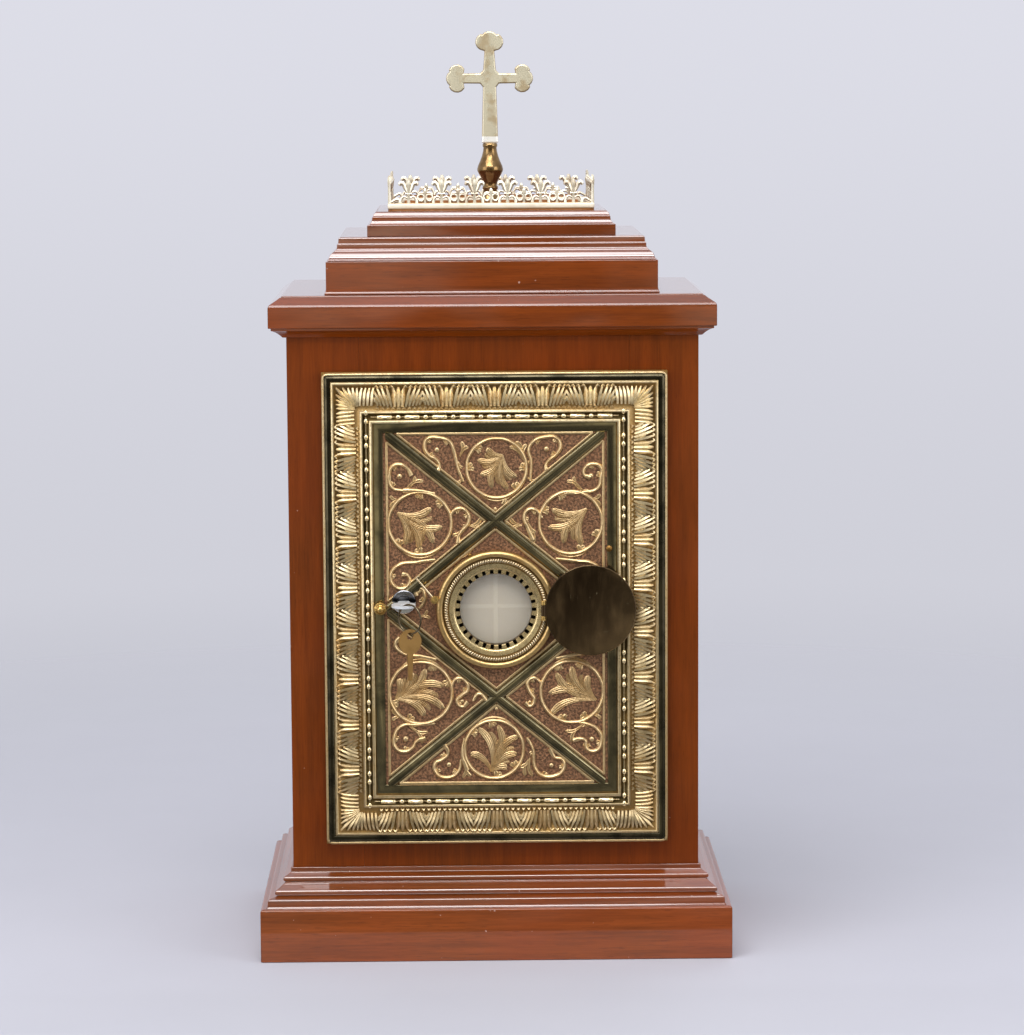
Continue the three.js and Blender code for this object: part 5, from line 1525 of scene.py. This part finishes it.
def make_lamps(power):
    """The lamps round the object."""
    for name, (share, size, place) in LAMPS.items():
        lamp = bpy.data.objects.new(name, bpy.data.lights.new(name, "AREA"))
        bpy.context.scene.collection.objects.link(lamp)
        lamp.data.energy = power * share
        lamp.data.size = size
        if name == "strip_lamp":
            lamp.data.shape, lamp.data.size_y = "RECTANGLE", STRIP_WIDTH
        lamp.location = place
        lamp.rotation_euler = (AIM - Vector(place)).to_track_quat("-Z", "Y").to_euler()


def make_stage():
    """The camera, floor, cards, backdrop and lamps."""
    settings = bpy.context.scene.tabernacle_stage
    bpy.context.scene.view_settings.view_transform = "Standard"
    make_camera(settings.lens)
    make_floor(settings.floor)
    make_cards()
    make_world(settings.backdrop)
    make_lamps(settings.lamp)


# Operators

class StageOperator(bpy.types.Operator):
    """Sets up the camera, the floor, the backdrop and the lamps"""
    bl_idname = "tabernacle.stage"
    bl_label = "Stage"

    def execute(self, context):
        FINISHES.update(make_finishes())
        make_stage()
        return {"FINISHED"}


class CabinetOperator(bpy.types.Operator):
    """Finishes the wooden case, its mouldings and its stepped top"""
    bl_idname = "tabernacle.cabinet"
    bl_label = "Cabinet"

    def execute(self, context):
        make_cabinet()
        return {"FINISHED"}


class GalleryOperator(bpy.types.Operator):
    """Makes the four crestings of the gallery"""
    bl_idname = "tabernacle.gallery"
    bl_label = "Gallery"

    def execute(self, context):
        make_gallery()
        return {"FINISHED"}


class CrossOperator(bpy.types.Operator):
    """Makes the cross and its turned knop"""
    bl_idname = "tabernacle.cross"
    bl_label = "Cross and knop"

    def execute(self, context):
        make_cross()
        return {"FINISHED"}


class DoorFrameOperator(bpy.types.Operator):
    """Makes the door's cast frame"""
    bl_idname = "tabernacle.door_frame"
    bl_label = "Door frame"

    def execute(self, context):
        make_door_frame()
        return {"FINISHED"}


class LeafBandOperator(bpy.types.Operator):
    """Makes the frame's acanthus leaves and its bead rows"""
    bl_idname = "tabernacle.leaf_band"
    bl_label = "Leaf band and beads"

    def execute(self, context):
        make_leaf_band()
        make_bead_rows()
        return {"FINISHED"}


class FieldOperator(bpy.types.Operator):
    """Makes the field's ground, polished border, crossed bands and fillets"""
    bl_idname = "tabernacle.field"
    bl_label = "Field"

    def execute(self, context):
        make_field_ground()
        make_field_border()
        make_panel_fillets()
        return {"FINISHED"}


class FoliageOperator(bpy.types.Operator):
    """Makes the field's rings, tendrils, leaves and buds, and the heads of its rivets"""
    bl_idname = "tabernacle.foliage"
    bl_label = "Foliage"

    def execute(self, context):
        make_foliage()
        make_fixings()
        return {"FINISHED"}


class WindowOperator(bpy.types.Operator):
    """Makes the window, its cover and its catch"""
    bl_idname = "tabernacle.window"
    bl_label = "Window"

    def execute(self, context):
        make_window()
        make_cover()
        make_catch()
        return {"FINISHED"}


class LockOperator(bpy.types.Operator):
    """Makes the lock, the keys and the pull knob"""
    bl_idname = "tabernacle.lock"
    bl_label = "Lock and keys"

    def execute(self, context):
        make_lock()
        make_knob()
        return {"FINISHED"}


class InsideOperator(bpy.types.Operator):
    """Finishes the hinges, the door's core plate and the case inside"""
    bl_idname = "tabernacle.inside"
    bl_label = "Hinges and inside"

    def execute(self, context):
        make_hinges()
        make_inside()
        return {"FINISHED"}


OPERATORS = (StageOperator, CabinetOperator, GalleryOperator, CrossOperator, DoorFrameOperator,
             LeafBandOperator, FieldOperator, FoliageOperator, WindowOperator, LockOperator,
             InsideOperator)
GROUPS = {"tabernacle_cabinet": CabinetSettings, "tabernacle_brass": BrassSettings,
          "tabernacle_ornament": OrnamentSettings, "tabernacle_stage": StageSettings}


class TabernaclePanel(bpy.types.Panel):
    """Lists the pieces and their settings"""
    bl_idname = "VIEW3D_PT_tabernacle"
    bl_label = "Altar tabernacle"
    bl_space_type = "VIEW_3D"
    bl_region_type = "UI"
    bl_category = "Tabernacle"

    def draw(self, context):
        for group, settings in GROUPS.items():
            box = self.layout.box()
            for name in settings.__annotations__:
                box.prop(getattr(context.scene, group), name)
        for operator in OPERATORS:
            self.layout.operator(operator.bl_idname)


def register():
    for group, settings in GROUPS.items():
        bpy.utils.register_class(settings)
        setattr(bpy.types.Scene, group, PointerProperty(type=settings))
    for operator in OPERATORS:
        bpy.utils.register_class(operator)
    bpy.utils.register_class(TabernaclePanel)


def unregister():
    bpy.utils.unregister_class(TabernaclePanel)
    for operator in reversed(OPERATORS):
        bpy.utils.unregister_class(operator)
    for group, settings in GROUPS.items():
        delattr(bpy.types.Scene, group)
        bpy.utils.unregister_class(settings)


def main():
    register()
    for operator in OPERATORS:
        getattr(bpy.ops.tabernacle, operator.bl_idname.split(".")[1])()


if __name__ == "__main__":
    main()
